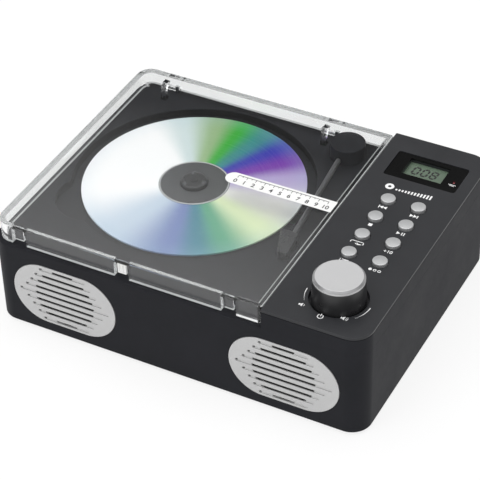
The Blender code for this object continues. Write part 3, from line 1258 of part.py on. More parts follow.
# Grilles and loudspeakers
def slot_loops(x):
    """Slots that end at the edge of the round loudspeaker opening."""
    loops = []
    for index in range(SLOT_COUNT):
        rise = (index - (SLOT_COUNT - 1) / 2) * SLOT_PITCH
        corner = abs(rise) + SLOT_HEIGHT / 2
        half = math.sqrt(SPEAKER_HOLE_RADIUS ** 2 - corner ** 2)
        loops.append(stadium(x, SPEAKER_Z + rise, 2 * half, SLOT_HEIGHT, FEW_STEPS))
    return loops


def make_grilles():
    front = CASE_FRONT - GRILLE_PROUD
    for name, side in SIDES:
        x = side * SPEAKER_X
        loops = [stadium(x, SPEAKER_Z, GRILLE_WIDTH, GRILLE_HEIGHT, CORNER_STEPS * 2)] + slot_loops(x)
        grille = flat_solid("grille_" + name, loops, front, front + GRILLE_THICKNESS, "xz")
        finish(grille, SILVER, smooth=False)


def make_speakers():
    face = FIT_GAP
    flange_back = face + SPEAKER_FLANGE_THICKNESS
    back = SPEAKER_DEPTH
    rim_radius = CONE_RADIUS + FIT_GAP
    frame_profile = [
        (SPEAKER_BACK_RADIUS, back), (rim_radius + SPEAKER_SHEET, flange_back),
        (SPEAKER_FLANGE_RADIUS, flange_back), (SPEAKER_FLANGE_RADIUS, face), (rim_radius, face),
        (rim_radius, face + SPEAKER_RIM_DEPTH), (SPEAKER_BACK_RADIUS - SPEAKER_SHEET, back - SPEAKER_SHEET),
        (SPEAKER_BACK_HOLE_RADIUS, back - SPEAKER_SHEET), (SPEAKER_BACK_HOLE_RADIUS, back)]
    edge_front = face + CONE_TRAVEL
    neck = edge_front + CONE_DEPTH
    coil_end = back + COIL_REACH
    coil_inside = COIL_RADIUS - COIL_WALL
    cone_profile = [
        (0, neck - CONE_DOME_RISE + CONE_EDGE), (coil_inside, neck), (coil_inside, coil_end),
        (COIL_RADIUS, coil_end), (COIL_RADIUS, neck + CONE_EDGE),
        (CONE_RADIUS, edge_front + CONE_EDGE), (CONE_RADIUS, edge_front),
        (COIL_RADIUS, neck), (0, neck - CONE_DOME_RISE)]
    magnet_front = back + FIT_GAP
    magnet_back = magnet_front + MAGNET_HEIGHT
    slot_bottom = magnet_front + MAGNET_SLOT_DEPTH
    magnet_profile = [
        (0, magnet_back), (MAGNET_RADIUS, magnet_back), (MAGNET_RADIUS, magnet_front),
        (COIL_RADIUS + FIT_GAP, magnet_front), (COIL_RADIUS + FIT_GAP, slot_bottom),
        (coil_inside - FIT_GAP, slot_bottom), (coil_inside - FIT_GAP, magnet_front), (0, magnet_front)]
    for name, side in SIDES:
        place = (side * SPEAKER_X, SPEAKER_MOUNT_Y, SPEAKER_Z)
        finish(turned("speaker_frame_" + name, frame_profile, place, along="y", closed=True), STEEL)
        cone = finish(turned("speaker_cone_" + name, cone_profile, place, along="y"), PAPER)
        finish(turned("speaker_magnet_" + name, magnet_profile, place, along="y"), STEEL)
        axis_empty("cone_axis_" + name, place, cone)


# Main board and sockets
def make_socket(name, x, width, nozzle, bore, pin):
    socket = box(name, (x - width / 2, SOCKET_BACK - SOCKET_LENGTH, ON_MAIN_BOARD),
                 (x + width / 2, SOCKET_BACK, ON_MAIN_BOARD + SOCKET_HEIGHT))
    mouth = CASE_BACK - FIT_GAP
    join(socket, cylinder(name + "_nozzle", nozzle, (x, SOCKET_BACK - CUT_OVERRUN, SOCKET_Z),
                          mouth - SOCKET_BACK + CUT_OVERRUN, SMALL_SIDES, "y"))
    cut(socket, cylinder(name + "_bore", bore, (x, mouth - SOCKET_BORE_DEPTH, SOCKET_Z),
                         SOCKET_BORE_DEPTH + CUT_OVERRUN, SMALL_SIDES, "y"))
    if pin:
        join(socket, cylinder(name + "_pin", pin, (x, mouth - SOCKET_BORE_DEPTH - CUT_OVERRUN, SOCKET_Z),
                              SOCKET_BORE_DEPTH, TINY_SIDES, "y"))
    finish(socket, GLOSS_BLACK)


def make_main_board():
    board = box("main_board", (MAIN_BOARD_LEFT, MAIN_BOARD_FRONT, MAIN_BOARD_BOTTOM),
                (MAIN_BOARD_RIGHT, MAIN_BOARD_BACK, MAIN_BOARD_BOTTOM + BOARD_THICKNESS))
    finish(board, BOARD_GREEN, smooth=False)
    make_socket("power_inlet", POWER_INLET_X, POWER_INLET_WIDTH, POWER_NOZZLE_RADIUS,
                POWER_BORE_RADIUS, POWER_PIN_RADIUS)
    make_socket("audio_socket", AUDIO_SOCKET_X, AUDIO_SOCKET_WIDTH, AUDIO_NOZZLE_RADIUS,
                AUDIO_BORE_RADIUS, None)


make_case()
make_bottom_cover()
make_feet_and_screws()
make_control_panel()
make_display()
make_buttons()
make_keypad_and_board()
make_knob()
make_lid()
make_hinge_pins()
make_disc_and_hub()
make_mechanism_frame()
make_dampers_and_motor()
make_pickup()
make_feed_screw()
make_tonearm()
make_grilles()
make_speakers()
make_main_board()
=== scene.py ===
# %% [markdown]
# # A table-top disc player with a clear lid
# The construction model is loaded first and stays the fixed frame. Every finer piece below is
# measured from it, so what is modelled here fits what moves there. The units are metres.

# %% Load the frame
import json
import math

import bmesh
import bpy
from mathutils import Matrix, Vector

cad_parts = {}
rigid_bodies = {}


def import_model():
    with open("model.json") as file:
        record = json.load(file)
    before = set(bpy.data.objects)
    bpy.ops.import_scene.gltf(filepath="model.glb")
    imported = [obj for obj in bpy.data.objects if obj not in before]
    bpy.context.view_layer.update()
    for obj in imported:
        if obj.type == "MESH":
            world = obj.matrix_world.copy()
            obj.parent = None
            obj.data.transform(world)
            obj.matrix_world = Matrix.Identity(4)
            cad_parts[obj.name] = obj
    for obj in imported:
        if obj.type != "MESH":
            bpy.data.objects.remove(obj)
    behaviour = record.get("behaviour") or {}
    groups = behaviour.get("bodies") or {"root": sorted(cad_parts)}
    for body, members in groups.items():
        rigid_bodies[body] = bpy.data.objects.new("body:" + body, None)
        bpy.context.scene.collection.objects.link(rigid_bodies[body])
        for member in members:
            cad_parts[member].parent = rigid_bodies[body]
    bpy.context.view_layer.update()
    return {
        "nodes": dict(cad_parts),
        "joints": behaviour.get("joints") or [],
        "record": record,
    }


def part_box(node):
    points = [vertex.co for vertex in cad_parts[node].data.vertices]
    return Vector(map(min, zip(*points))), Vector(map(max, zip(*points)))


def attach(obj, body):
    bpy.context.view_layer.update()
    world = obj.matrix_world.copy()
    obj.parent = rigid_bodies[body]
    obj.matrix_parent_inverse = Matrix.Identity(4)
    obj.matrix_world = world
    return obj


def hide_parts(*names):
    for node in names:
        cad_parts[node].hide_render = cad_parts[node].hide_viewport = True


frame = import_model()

# %% [markdown]
# ## Camera
# The photograph was taken from above the front right corner with a long lens, which keeps the
# sides of the case nearly parallel. The lens and the place were found by matching the case's
# edges and the round disc, whose real size is known.

# %% Camera
CAMERA_PLACE = (0.375339, -0.693442, 0.670250)
CAMERA_TURN = (0.888822, 0.022136, 0.479978)
CAMERA_LENS_MM = 144.307
CAMERA_SENSOR_MM = 36
CAMERA_SHIFT = (-0.004247, -0.000611)

camera_data = bpy.data.cameras.new("photo_camera")
camera_data.lens = CAMERA_LENS_MM
camera_data.sensor_width = CAMERA_SENSOR_MM
camera_data.shift_x, camera_data.shift_y = CAMERA_SHIFT
camera = bpy.data.objects.new("photo_camera", camera_data)
camera.location = CAMERA_PLACE
camera.rotation_euler = CAMERA_TURN
bpy.context.scene.collection.objects.link(camera)
bpy.context.scene.camera = camera
bpy.context.scene.view_settings.view_transform = "Standard"
print("camera stands", round(Vector(CAMERA_PLACE).length, 3), "m from the middle of the footprint")

# %% [markdown]
# ## Helpers for modelling by hand
# An operator works on everything that is selected, so each helper first makes its piece the
# only selected one. A finished piece has its place in its mesh and its object at the origin.

# %% Selecting and settling


def alone(piece):
    """Make one piece the only selected one and the active one."""
    bpy.ops.object.select_all(action="DESELECT")
    piece.select_set(True)
    bpy.context.view_layer.objects.active = piece
    return piece


def settle(piece):
    """Put the piece's place, turn and size into its mesh."""
    alone(piece)
    bpy.ops.object.transform_apply(location=True, rotation=True, scale=True)
    return piece


def named(name):
    piece = bpy.context.object
    piece.name = name
    piece.data.name = name
    return settle(piece)


# %% Starting shapes
TURN_TO = {"x": (0, math.pi / 2, 0), "y": (-math.pi / 2, 0, 0), "z": (0, 0, 0)}
ROUND_SIDES = 96
SMALL_SIDES = 32


def block(name, low, high):
    """Block between two corners."""
    bpy.ops.object.select_all(action="DESELECT")
    middle = [(a + b) / 2 for a, b in zip(low, high)]
    size = [b - a for a, b in zip(low, high)]
    bpy.ops.mesh.primitive_cube_add(size=1, location=middle, scale=size)
    return named(name)


def round_bar(name, radius, start, length, along="z", sides=ROUND_SIDES):
    """Round bar whose first end has its centre at start and which runs along one axis."""
    bpy.ops.object.select_all(action="DESELECT")
    middle = list(start)
    middle["xyz".index(along)] += length / 2
    bpy.ops.mesh.primitive_cylinder_add(
        vertices=sides, radius=radius, depth=length, location=middle, rotation=TURN_TO[along])
    return named(name)


# %% Choosing edges and faces
SLACK = 0.00002


def choose(piece, kind, test):
    """Enter edit mode with only the edges or faces selected that pass the test."""
    alone(piece)
    bpy.ops.object.mode_set(mode="EDIT")
    bpy.ops.mesh.select_mode(type=kind)
    bpy.ops.mesh.select_all(action="DESELECT")
    cage = bmesh.from_edit_mesh(piece.data)
    cage.normal_update()
    parts = {"EDGE": cage.edges, "FACE": cage.faces, "VERT": cage.verts}[kind]
    chosen = [part for part in parts if test(part)]
    for part in chosen:
        part.select_set(True)
    bmesh.update_edit_mesh(piece.data)
    return len(chosen)


def done():
    bpy.ops.object.mode_set(mode="OBJECT")


def ends(edge):
    return [vertex.co for vertex in edge.verts]


def sharp(edge):
    """True where two faces meet at a corner of more than 57 degrees."""
    return edge.calc_face_angle(0) > 1


def is_along(edge, axis):
    """True where an edge runs along one axis."""
    a, b = ends(edge)
    step = b - a
    return abs(step[axis]) > 0.999 * step.length


def at(value, place):
    """True where two lengths agree to a fiftieth of a millimetre."""
    return abs(value - place) < SLACK


def level(height):
    """Test for edges that lie in one level plane."""
    return lambda edge: all(at(point.z, height) for point in ends(edge))


def at_depth(y):
    """Test for edges that lie at one place between front and back."""
    return lambda edge: all(at(point.y, y) for point in ends(edge))


def round_edges(piece, width, segments, test):
    """Bevel the edges that pass a test."""
    count = choose(piece, "EDGE", test)
    if count:
        bpy.ops.mesh.bevel(offset=width, offset_type="OFFSET", segments=segments, profile=0.5,
                           affect="EDGES", clamp_overlap=True)
    done()
    return piece


def stepped(piece, test, steps):
    """Inset the faces that pass a test step by step: each step has a width and a rise."""
    choose(piece, "FACE", test)
    for width, rise in steps:
        bpy.ops.mesh.inset(thickness=width, depth=rise)
    done()
    return piece


def extrude(height):
    """Pull the selected faces out along Z."""
    bpy.ops.mesh.extrude_region_move(TRANSFORM_OT_translate={"value": (0, 0, height)})


def middle_of(name):
    low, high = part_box(name)
    return (low + high) / 2


def over(middle, z):
    """The point above or below a middle point, at height z."""
    return middle.x, middle.y, z


# %% Cutting, joining and smoothing
MERGE_STEP = 0.000005
SMOOTH_ANGLE = math.radians(32)


def apply_boolean(piece, tool, operation):
    alone(piece)
    step = piece.modifiers.new("fit", "BOOLEAN")
    step.operation = operation
    step.solver = "EXACT"
    step.object = tool
    bpy.ops.object.modifier_apply(modifier=step.name)
    bpy.data.objects.remove(tool, do_unlink=True)
    return piece


def cut(piece, *tools):
    for tool in tools:
        apply_boolean(piece, tool, "DIFFERENCE")
    return piece


def join(piece, *tools):
    for tool in tools:
        apply_boolean(piece, tool, "UNION")
    return piece


def smooth(piece):
    """Shade the curves smoothly and keep the flat faces flat."""
    alone(piece)
    bpy.ops.object.shade_smooth_by_angle(angle=SMOOTH_ANGLE)
    flat = piece.modifiers.new("flat faces stay flat", "WEIGHTED_NORMAL")
    flat.keep_sharp = True
    flat.weight = 100
    bpy.ops.object.modifier_apply(modifier=flat.name)
    return piece


def clean(piece):
    """Merge doubled points and turn every face outwards."""
    choose(piece, "VERT", lambda vertex: True)
    bpy.ops.mesh.remove_doubles(threshold=MERGE_STEP)
    bpy.ops.mesh.normals_make_consistent(inside=False)
    done()
    return piece


# %% [markdown]
# ## Surface effects that several finishes share
# Moulded plastic is never perfectly flat: the steel mould leaves a fine grain, and handling
# leaves faint dull patches. Both are node groups, made once. They read Object coordinates, so
# the pattern has its real size on every piece.

# %% Helpers for nodes


def add_node(tree, kind, **settings):
    node = tree.nodes.new(kind)
    for key, value in settings.items():
        setattr(node, key, value)
    return node


def set_inputs(node, **values):
    for key, value in values.items():
        node.inputs[key.replace("_", " ")].default_value = value
    return node


def new_group(name, numbers, outputs):
    """Node group whose inputs are numbers and whose outputs are numbers, too."""
    group = bpy.data.node_groups.new(name, "ShaderNodeTree")
    for label, value in numbers:
        socket = group.interface.new_socket(name=label, in_out="INPUT", socket_type="NodeSocketFloat")
        socket.default_value = value
    for label in outputs:
        group.interface.new_socket(name=label, in_out="OUTPUT", socket_type="NodeSocketFloat")
    inside = add_node(group, "NodeGroupInput")
    outside = add_node(group, "NodeGroupOutput")
    return group, inside, outside


def object_place(tree):
    return add_node(tree, "ShaderNodeTexCoord").outputs["Object"]


def feed(tree, value, socket):
    """Set a socket to a number or a colour, or link another node's output to it."""
    if isinstance(value, (int, float)):
        socket.default_value = value
    elif isinstance(value, tuple):
        socket.default_value = (*value, 1.0)
    else:
        tree.links.new(value, socket)


def math_node(tree, operation, first, second):
    node = add_node(tree, "ShaderNodeMath", operation=operation)
    for socket, value in zip(node.inputs, (first, second)):
        feed(tree, value, socket)
    return node.outputs[0]


def blended(tree, first, second, share):
    """Sum of two values, of which the first has the given share."""
    return math_node(tree, "ADD", math_node(tree, "MULTIPLY", first, share),
                     math_node(tree, "MULTIPLY", second, round(1 - share, 6)))


def spread(tree, value, low, high, from_low=0.0, from_high=1.0):
    """Carry a value from one range to another, clamped."""
    node = add_node(tree, "ShaderNodeMapRange")
    tree.links.new(value, node.inputs["Value"])
    ranges = {"From Min": from_low, "From Max": from_high, "To Min": low, "To Max": high}
    for label, number in ranges.items():
        feed(tree, number, node.inputs[label])
    return node.outputs["Result"]


def noise(tree, place, scale, detail=2.0, roughness=0.5):
    node = add_node(tree, "ShaderNodeTexNoise")
    set_inputs(node, Detail=detail, Roughness=roughness)
    feed(tree, scale, node.inputs["Scale"])
    tree.links.new(place, node.inputs["Vector"])
    return node.outputs["Fac"]


# %% Moulded grain and handling marks
GRAIN_PER_METRE = 2600.0
MOULD_DEPTH = 0.000004
MARKS_PER_METRE = 34.0


def make_mould_grain():
    group, inside, outside = new_group("mould grain", [("Grain per metre", GRAIN_PER_METRE)], ["Height"])
    place = object_place(group)
    grain = inside.outputs["Grain per metre"]
    fine = noise(group, place, grain, 3.0, 0.6)
    slow = noise(group, place, math_node(group, "MULTIPLY", grain, 0.35), 1.0)
    group.links.new(blended(group, fine, slow, 0.7), outside.inputs["Height"])
    return group


def make_handling_marks():
    numbers = [("Lowest", 0.3), ("Highest", 0.4), ("Marks per metre", MARKS_PER_METRE)]
    group, inside, outside = new_group("handling marks", numbers, ["Roughness", "Patch"])
    place = object_place(group)
    marks = inside.outputs["Marks per metre"]
    broad = noise(group, place, marks, 4.0, 0.62)
    fine = noise(group, place, math_node(group, "MULTIPLY", marks, 9.0), 2.0)
    mixed = blended(group, broad, fine, 0.75)
    rough = spread(group, mixed, inside.outputs["Lowest"], inside.outputs["Highest"], 0.32, 0.68)
    group.links.new(rough, outside.inputs["Roughness"])
    group.links.new(mixed, outside.inputs["Patch"])
    return group


MOULD_GRAIN = make_mould_grain()
HANDLING_MARKS = make_handling_marks()
print("shared effects:", [group.name for group in (MOULD_GRAIN, HANDLING_MARKS)])

# %% Painting one finish


def use_group(tree, group, **values):
    node = add_node(tree, "ShaderNodeGroup", node_tree=group)
    return set_inputs(node, **values)


def new_finish(name, roughness, metallic=0.0, specular=0.5, coat=0.0, coat_roughness=0.05):
    """Material with plain numbers on its shader, ready for its colour, roughness and bump."""
    finish = bpy.data.materials.new(name)
    finish.use_nodes = True
    shader = finish.node_tree.nodes["Principled BSDF"]
    set_inputs(shader, Roughness=roughness, Metallic=metallic, Specular_IOR_Level=specular,
               Coat_Weight=coat, Coat_Roughness=coat_roughness)
    return finish, finish.node_tree, shader


def mix_colours(tree, amount, first, second):
    node = add_node(tree, "ShaderNodeMix", data_type="RGBA")
    for index, value in ((0, amount), (6, first), (7, second)):
        feed(tree, value, node.inputs[index])
    return node.outputs[2]


def bump(tree, shader, height, distance):
    node = add_node(tree, "ShaderNodeBump")
    set_inputs(node, Distance=distance, Strength=1.0)
    tree.links.new(height, node.inputs["Height"])
    tree.links.new(node.outputs["Normal"], shader.inputs["Normal"])


def handled(tree, shader, lowest, highest):
    """Roughness with faint dull patches. Returns the pattern of the patches."""
    marks = use_group(tree, HANDLING_MARKS, Lowest=lowest, Highest=highest)
    tree.links.new(marks.outputs["Roughness"], shader.inputs["Roughness"])
    return marks.outputs["Patch"]


def colour_with(tree, shader, amount, first, second):
    tree.links.new(mix_colours(tree, amount, first, second), shader.inputs["Base Color"])


def moulded(name, dark, light, rough_low, rough_high, grain=GRAIN_PER_METRE, depth=MOULD_DEPTH,
            **shader_values):
    """Moulded plastic or rubber: grained, with faint duller patches and a little colour change."""
    finish, tree, shader = new_finish(name, rough_low, **shader_values)
    patch = handled(tree, shader, rough_low, rough_high)
    colour_with(tree, shader, spread(tree, patch, 0.0, 1.0, 0.3, 0.7), dark, light)
    bump(tree, shader, use_group(tree, MOULD_GRAIN, Grain_per_metre=grain).outputs["Height"], depth)
    return finish


def second_finish(piece, finish, test):
    """Give the faces that pass a test a finish of their own."""
    piece.data.materials.append(finish)
    choose(piece, "FACE", test)
    piece.active_material_index = 1
    bpy.ops.object.material_slot_assign()
    done()


# %% [markdown]
# ## Finishes
# The case is black ABS with a satin mould finish, the knob's skirt is half gloss, the display
# window is polished, and the small parts are painted silver. Each finish starts from the colour
# that the part has in plain light.

# %% Plastics and rubber
CASE_BLACK = moulded("satin black plastic", (0.015, 0.0155, 0.018), (0.019, 0.0195, 0.023), 0.42, 0.52,
                    specular=0.05)
# The same black plastic made darker for the well's walls: painted shade, where the wall stands in shadow.
WELL_PAINTED_SHADE = moulded("well wall with painted shade", (0.005, 0.0052, 0.006), (0.007, 0.0072, 0.008), 0.45, 0.55,
                     specular=0.05)
PANEL_BLACK = moulded("panel black plastic", (0.022, 0.0225, 0.025), (0.027, 0.028, 0.031), 0.34, 0.42,
                     specular=0.25)
GLOSS_BLACK = moulded("gloss black plastic", (0.006, 0.006, 0.007), (0.008, 0.008, 0.009), 0.06, 0.12,
                      grain=400.0, depth=0.000002)
KNOB_BLACK = moulded("semi-gloss black plastic", (0.014, 0.014, 0.015), (0.018, 0.018, 0.019), 0.24, 0.32,
                     grain=400.0, depth=0.000002)
GREY_PLASTIC = moulded("grey plastic", (0.055, 0.058, 0.062), (0.07, 0.074, 0.078), 0.32, 0.45)
WHITE_PLASTIC = moulded("white plastic", (0.74, 0.74, 0.73), (0.82, 0.82, 0.81), 0.3, 0.42)
RUBBER = moulded("soft black rubber", (0.018, 0.018, 0.018), (0.03, 0.03, 0.03), 0.75, 0.9, grain=1500.0,
                 depth=0.00003)
PAPER = moulded("pressed cone paper", (0.02, 0.02, 0.02), (0.04, 0.04, 0.04), 0.8, 0.95, grain=1200.0,
                depth=0.00006)
BOARD_GREEN = moulded("green circuit board", (0.02, 0.12, 0.05), (0.03, 0.2, 0.09), 0.3, 0.45, grain=500.0)
WHITE_INK = moulded("white printed ink", (0.78, 0.78, 0.78), (0.84, 0.84, 0.84), 0.45, 0.6)
BLACK_INK = moulded("black printed ink", (0.01, 0.01, 0.01), (0.016, 0.016, 0.016), 0.4, 0.6)
STEEL = moulded("plain steel", (0.5, 0.5, 0.51), (0.6, 0.6, 0.61), 0.22, 0.36, grain=900.0, depth=0.000006,
                metallic=1.0)

# %% Silver paint
SILVER_FLAKES_PER_METRE = 5200.0
FLAKE_DEPTH = 0.000004


def make_silver(name, dark, light, rough, metallic):
    """Silver paint: tiny flakes that catch the light at slightly different slants."""
    finish, tree, shader = new_finish(name, rough, metallic=metallic)
    place = object_place(tree)
    flakes = add_node(tree, "ShaderNodeTexVoronoi")
    flakes.inputs["Scale"].default_value = SILVER_FLAKES_PER_METRE
    tree.links.new(place, flakes.inputs["Vector"])
    handled(tree, shader, rough - 0.04, rough + 0.05)
    colour_with(tree, shader, flakes.outputs["Distance"], dark, light)
    bump(tree, shader, flakes.outputs["Distance"], FLAKE_DEPTH)
    return finish


SILVER_PAINT = make_silver("silver paint", (0.46, 0.465, 0.47), (0.56, 0.565, 0.57), 0.36, 0.6)
GRILLE_SILVER = make_silver("grille silver", (0.44, 0.44, 0.44), (0.53, 0.53, 0.53), 0.38, 0.3)

# %% [markdown]
# Clear plastic is glass to the renderer, with one change: a lamp's light passes straight through
# it on the way to the deck, because real acrylic casts almost no shadow.

# %% Clear plastic
WAVES_PER_METRE = 20.0
WAVE_DEPTH = 0.000002
ACRYLIC_IOR = 1.49
CLEAR = (0.99, 0.99, 0.99)
SHADOW_TINT = (0.94, 0.95, 0.95, 1.0)


def blend_shaders(tree, share, first, second):
    """Show the second shader by its share, and the first for the rest."""
    blend = add_node(tree, "ShaderNodeMixShader")
    tree.links.new(share, blend.inputs["Fac"])
    tree.links.new(first.outputs[0], blend.inputs[1])
    tree.links.new(second.outputs[0], blend.inputs[2])
    tree.links.new(blend.outputs["Shader"], tree.nodes["Material Output"].inputs["Surface"])


def make_clear(name, tint, roughness):
    finish, tree, shader = new_finish(name, roughness)
    set_inputs(shader, Transmission_Weight=1.0, IOR=ACRYLIC_IOR)
    patch = handled(tree, shader, roughness * 0.5, roughness * 1.5)
    bump(tree, shader, noise(tree, object_place(tree), WAVES_PER_METRE, 1.0), WAVE_DEPTH)
    colour_with(tree, shader, patch, tint, CLEAR)
    through = add_node(tree, "ShaderNodeBsdfTransparent")
    set_inputs(through, Color=SHADOW_TINT)
    light_path = add_node(tree, "ShaderNodeLightPath")
    blend_shaders(tree, light_path.outputs["Is Shadow Ray"], shader, through)
    return finish


CLEAR_PLASTIC = make_clear("clear acrylic", (0.975, 0.985, 0.985), 0.01)

# %% [markdown]
# ## The compact disc's colours
# The data side of a disc splits light into colours that turn with the angle round the hub. Here
# these colours are painted reflections, painted by that angle, with pale sectors that are painted
# reflections of the studio's white walls, so the disc keeps its colours in every view.

# %% Disc foil
disc_low, disc_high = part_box("compact_disc")
DISC_MIDDLE = (disc_low + disc_high) / 2
DISC_RADIUS = (disc_high.x - disc_low.x) / 2
CLEAR_HUB_RADIUS = 0.0190
# Stops of the painted reflections: degrees anticlockwise from the control side, and a plain colour.
DISC_REFLECTION_COLOURS = (
    (0, (0.95, 0.95, 0.93)), (30, (0.75, 0.70, 0.85)), (45, (0.55, 0.40, 0.70)),
    (60, (0.30, 0.38, 0.70)), (75, (0.10, 0.60, 0.60)), (90, (0.35, 0.70, 0.40)),
    (105, (0.65, 0.75, 0.60)), (125, (0.85, 0.90, 0.90)), (145, (1.0, 1.0, 1.0)),
    (210, (1.0, 1.0, 1.0)), (250, (0.80, 0.85, 0.90)), (285, (0.55, 0.60, 0.75)),
    (300, (0.45, 0.60, 0.65)), (315, (0.50, 0.70, 0.60)), (340, (0.90, 0.95, 0.80)),
)
LID_SHEEN = 0.13
DARKEST = 0.005
FOIL_RINGS_PER_METRE = 900.0
FOIL_DEPTH = 0.000001
EDGE_TINT = (0.62, 0.76, 0.84)
EDGE_TINT_START = 0.050
EDGE_TINT_SHARE = 0.16
STREAK_SHARE = 0.03


def to_linear(colour):
    """Amount of light in a colour that is given as a screen shows it."""
    return tuple(((v + 0.055) / 1.055) ** 2.4 if v > 0.04045 else v / 12.92 for v in colour)


def without_sheen(colour):
    """Colour of the foil alone: the lid's sheen is taken off again."""
    bare = [(v - LID_SHEEN) / (1 - LID_SHEEN) for v in to_linear(colour)]
    return tuple(min(max(v, DARKEST), 1.0) for v in bare)


def centred_place(tree, middle):
    """Object coordinates measured from a middle point."""
    node = add_node(tree, "ShaderNodeMapping")
    set_inputs(node, Location=tuple(-v for v in middle))
    tree.links.new(object_place(tree), node.inputs["Vector"])
    return node.outputs["Vector"]


def turn_and_reach(tree, place):
    """Angle round Z as a share of a full turn, and the distance from Z."""
    parts = add_node(tree, "ShaderNodeSeparateXYZ")
    tree.links.new(place, parts.inputs["Vector"])
    angle = math_node(tree, "ARCTAN2", parts.outputs["Y"], parts.outputs["X"])
    share = math_node(tree, "FRACT", math_node(tree, "DIVIDE", angle, 2 * math.pi), 0.0)
    squares = [math_node(tree, "MULTIPLY", parts.outputs[axis], parts.outputs[axis]) for axis in "XY"]
    reach = math_node(tree, "SQRT", math_node(tree, "ADD", *squares), 0.0)
    return share, reach


def make_disc_foil():
    finish, tree, shader = new_finish("disc foil", 0.3, specular=0.3, coat=0.2, coat_roughness=0.02)
    share, reach = turn_and_reach(tree, centred_place(tree, DISC_MIDDLE))
    ramp = add_node(tree, "ShaderNodeValToRGB")
    ramp.color_ramp.interpolation = "EASE"
    stops = [(degrees / 360, without_sheen(colour)) for degrees, colour in DISC_REFLECTION_COLOURS]
    stops.append((1.0, without_sheen(DISC_REFLECTION_COLOURS[0][1])))
    elements = ramp.color_ramp.elements
    elements[0].position, elements[1].position = stops[0][0], stops[-1][0]
    elements[0].color = elements[1].color = (*stops[0][1], 1.0)
    for position, colour in stops[1:-1]:
        elements.new(position).color = (*colour, 1.0)
    tree.links.new(share, ramp.inputs["Fac"])
    rings = add_node(tree, "ShaderNodeTexNoise", noise_dimensions="1D")
    rings.inputs["Scale"].default_value = FOIL_RINGS_PER_METRE
    tree.links.new(reach, rings.inputs["W"])
    outer = spread(tree, reach, 0.0, EDGE_TINT_SHARE, EDGE_TINT_START, DISC_RADIUS)
    tinted = mix_colours(tree, outer, ramp.outputs["Color"], to_linear(EDGE_TINT))
    streaks = spread(tree, rings.outputs["Fac"], 0.0, STREAK_SHARE, 0.3, 0.7)
    colour_with(tree, shader, streaks, tinted, (1.0, 1.0, 1.0))
    bump(tree, shader, rings.outputs["Fac"], FOIL_DEPTH)
    return finish


DISC_FOIL = make_disc_foil()
DISC_CLEAR_HUB = moulded("clear hub ring over the deck", (0.05, 0.051, 0.054), (0.06, 0.062, 0.065),
                         0.08, 0.14, grain=300.0, depth=0.000001)
print("disc radius", round(DISC_RADIUS * 1000, 2), "mm with", len(DISC_REFLECTION_COLOURS), "colour stops")

# %% [markdown]
# ## The case
# The case is one moulding: a box with rounded corners, a flat deck on the left and a taller block
# for the controls on the right. It is made as two rounded blocks joined, hollowed from below,
# and then the round well for the disc is sunk into the deck.

# %% Places that the case's pieces share
case_low, case_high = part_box("case")
panel_low, panel_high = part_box("control_panel")
lid_low, lid_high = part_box("lid")
drum_low, drum_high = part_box("tonearm_drum")
FIT_GAP = 0.0003
OVERRUN = 0.002
DRILL_LENGTH = 0.01
JOINT_OVERLAP = 0.0002
DECK_Z = drum_low.z - FIT_GAP
PANEL_LEFT = panel_low.x
CASE_CORNER = 0.0108
CASE_WALL = 0.0025
DECK_THICKNESS = 0.0025
DECK_EDGE = 0.0009
BOTTOM_EDGE = 0.0005
# The control block is a hair smaller than the case, so that no two faces of them coincide.
TOWER_STEP = 0.00002
TOWER_EDGE = 0.0004
TOWER_ROOT = 0.003
SPLIT_OFFSET = 0.004
TOUCH = 0.0001
CORNER_STEPS = 14
print("deck", round(DECK_Z * 1000, 2), "mm, control block starts at x", round(PANEL_LEFT * 1000, 2), "mm")


def upright(*places):
    """Test for upright edges, at given x places if there are any."""
    def test(edge):
        x = ends(edge)[0].x
        return is_along(edge, 2) and (not places or any(at(x, place) for place in places))
    return test


def rounded_block(name, low, high, radius, *places):
    return round_edges(block(name, low, high), radius, CORNER_STEPS, upright(*places))


# %% Outer shell
case_body = rounded_block("case_body", case_low, (case_high.x, case_high.y, DECK_Z), CASE_CORNER)
choose(case_body, "FACE", lambda face: True)
bpy.ops.mesh.bisect(plane_co=(PANEL_LEFT + SPLIT_OFFSET, 0, 0), plane_no=(1, 0, 0))
done()
round_edges(case_body, DECK_EDGE, 5, lambda e: level(DECK_Z)(e) and sharp(e)
            and max(point.x for point in ends(e)) < PANEL_LEFT + SPLIT_OFFSET + TOUCH)
round_edges(case_body, BOTTOM_EDGE, 3, lambda e: level(case_low.z)(e) and sharp(e))
tower = block("tower", (PANEL_LEFT, case_low.y + TOWER_STEP, DECK_Z - TOWER_ROOT),
              (case_high.x - TOWER_STEP, case_high.y - TOWER_STEP, case_high.z))
round_edges(tower, CASE_CORNER - TOWER_STEP, CORNER_STEPS, upright(case_high.x - TOWER_STEP))
round_edges(tower, TOWER_EDGE, 3, upright(PANEL_LEFT))
join(case_body, tower)
print("outer shell:", len(case_body.data.polygons), "faces")

# %% Hollow inside
hollow_low = (case_low.x + CASE_WALL, case_low.y + CASE_WALL, case_low.z - OVERRUN)
hollow_high = (case_high.x - CASE_WALL, case_high.y - CASE_WALL, DECK_Z - DECK_THICKNESS)
hollow = rounded_block("hollow", hollow_low, hollow_high, CASE_CORNER - CASE_WALL)
tower_hollow = rounded_block("tower_hollow",
                             (PANEL_LEFT + CASE_WALL, hollow_low[1], hollow_high[2] - OVERRUN),
                             (hollow_high[0], hollow_high[1], case_high.z + OVERRUN),
                             CASE_CORNER - CASE_WALL, hollow_high[0])
cut(case_body, hollow, tower_hollow)

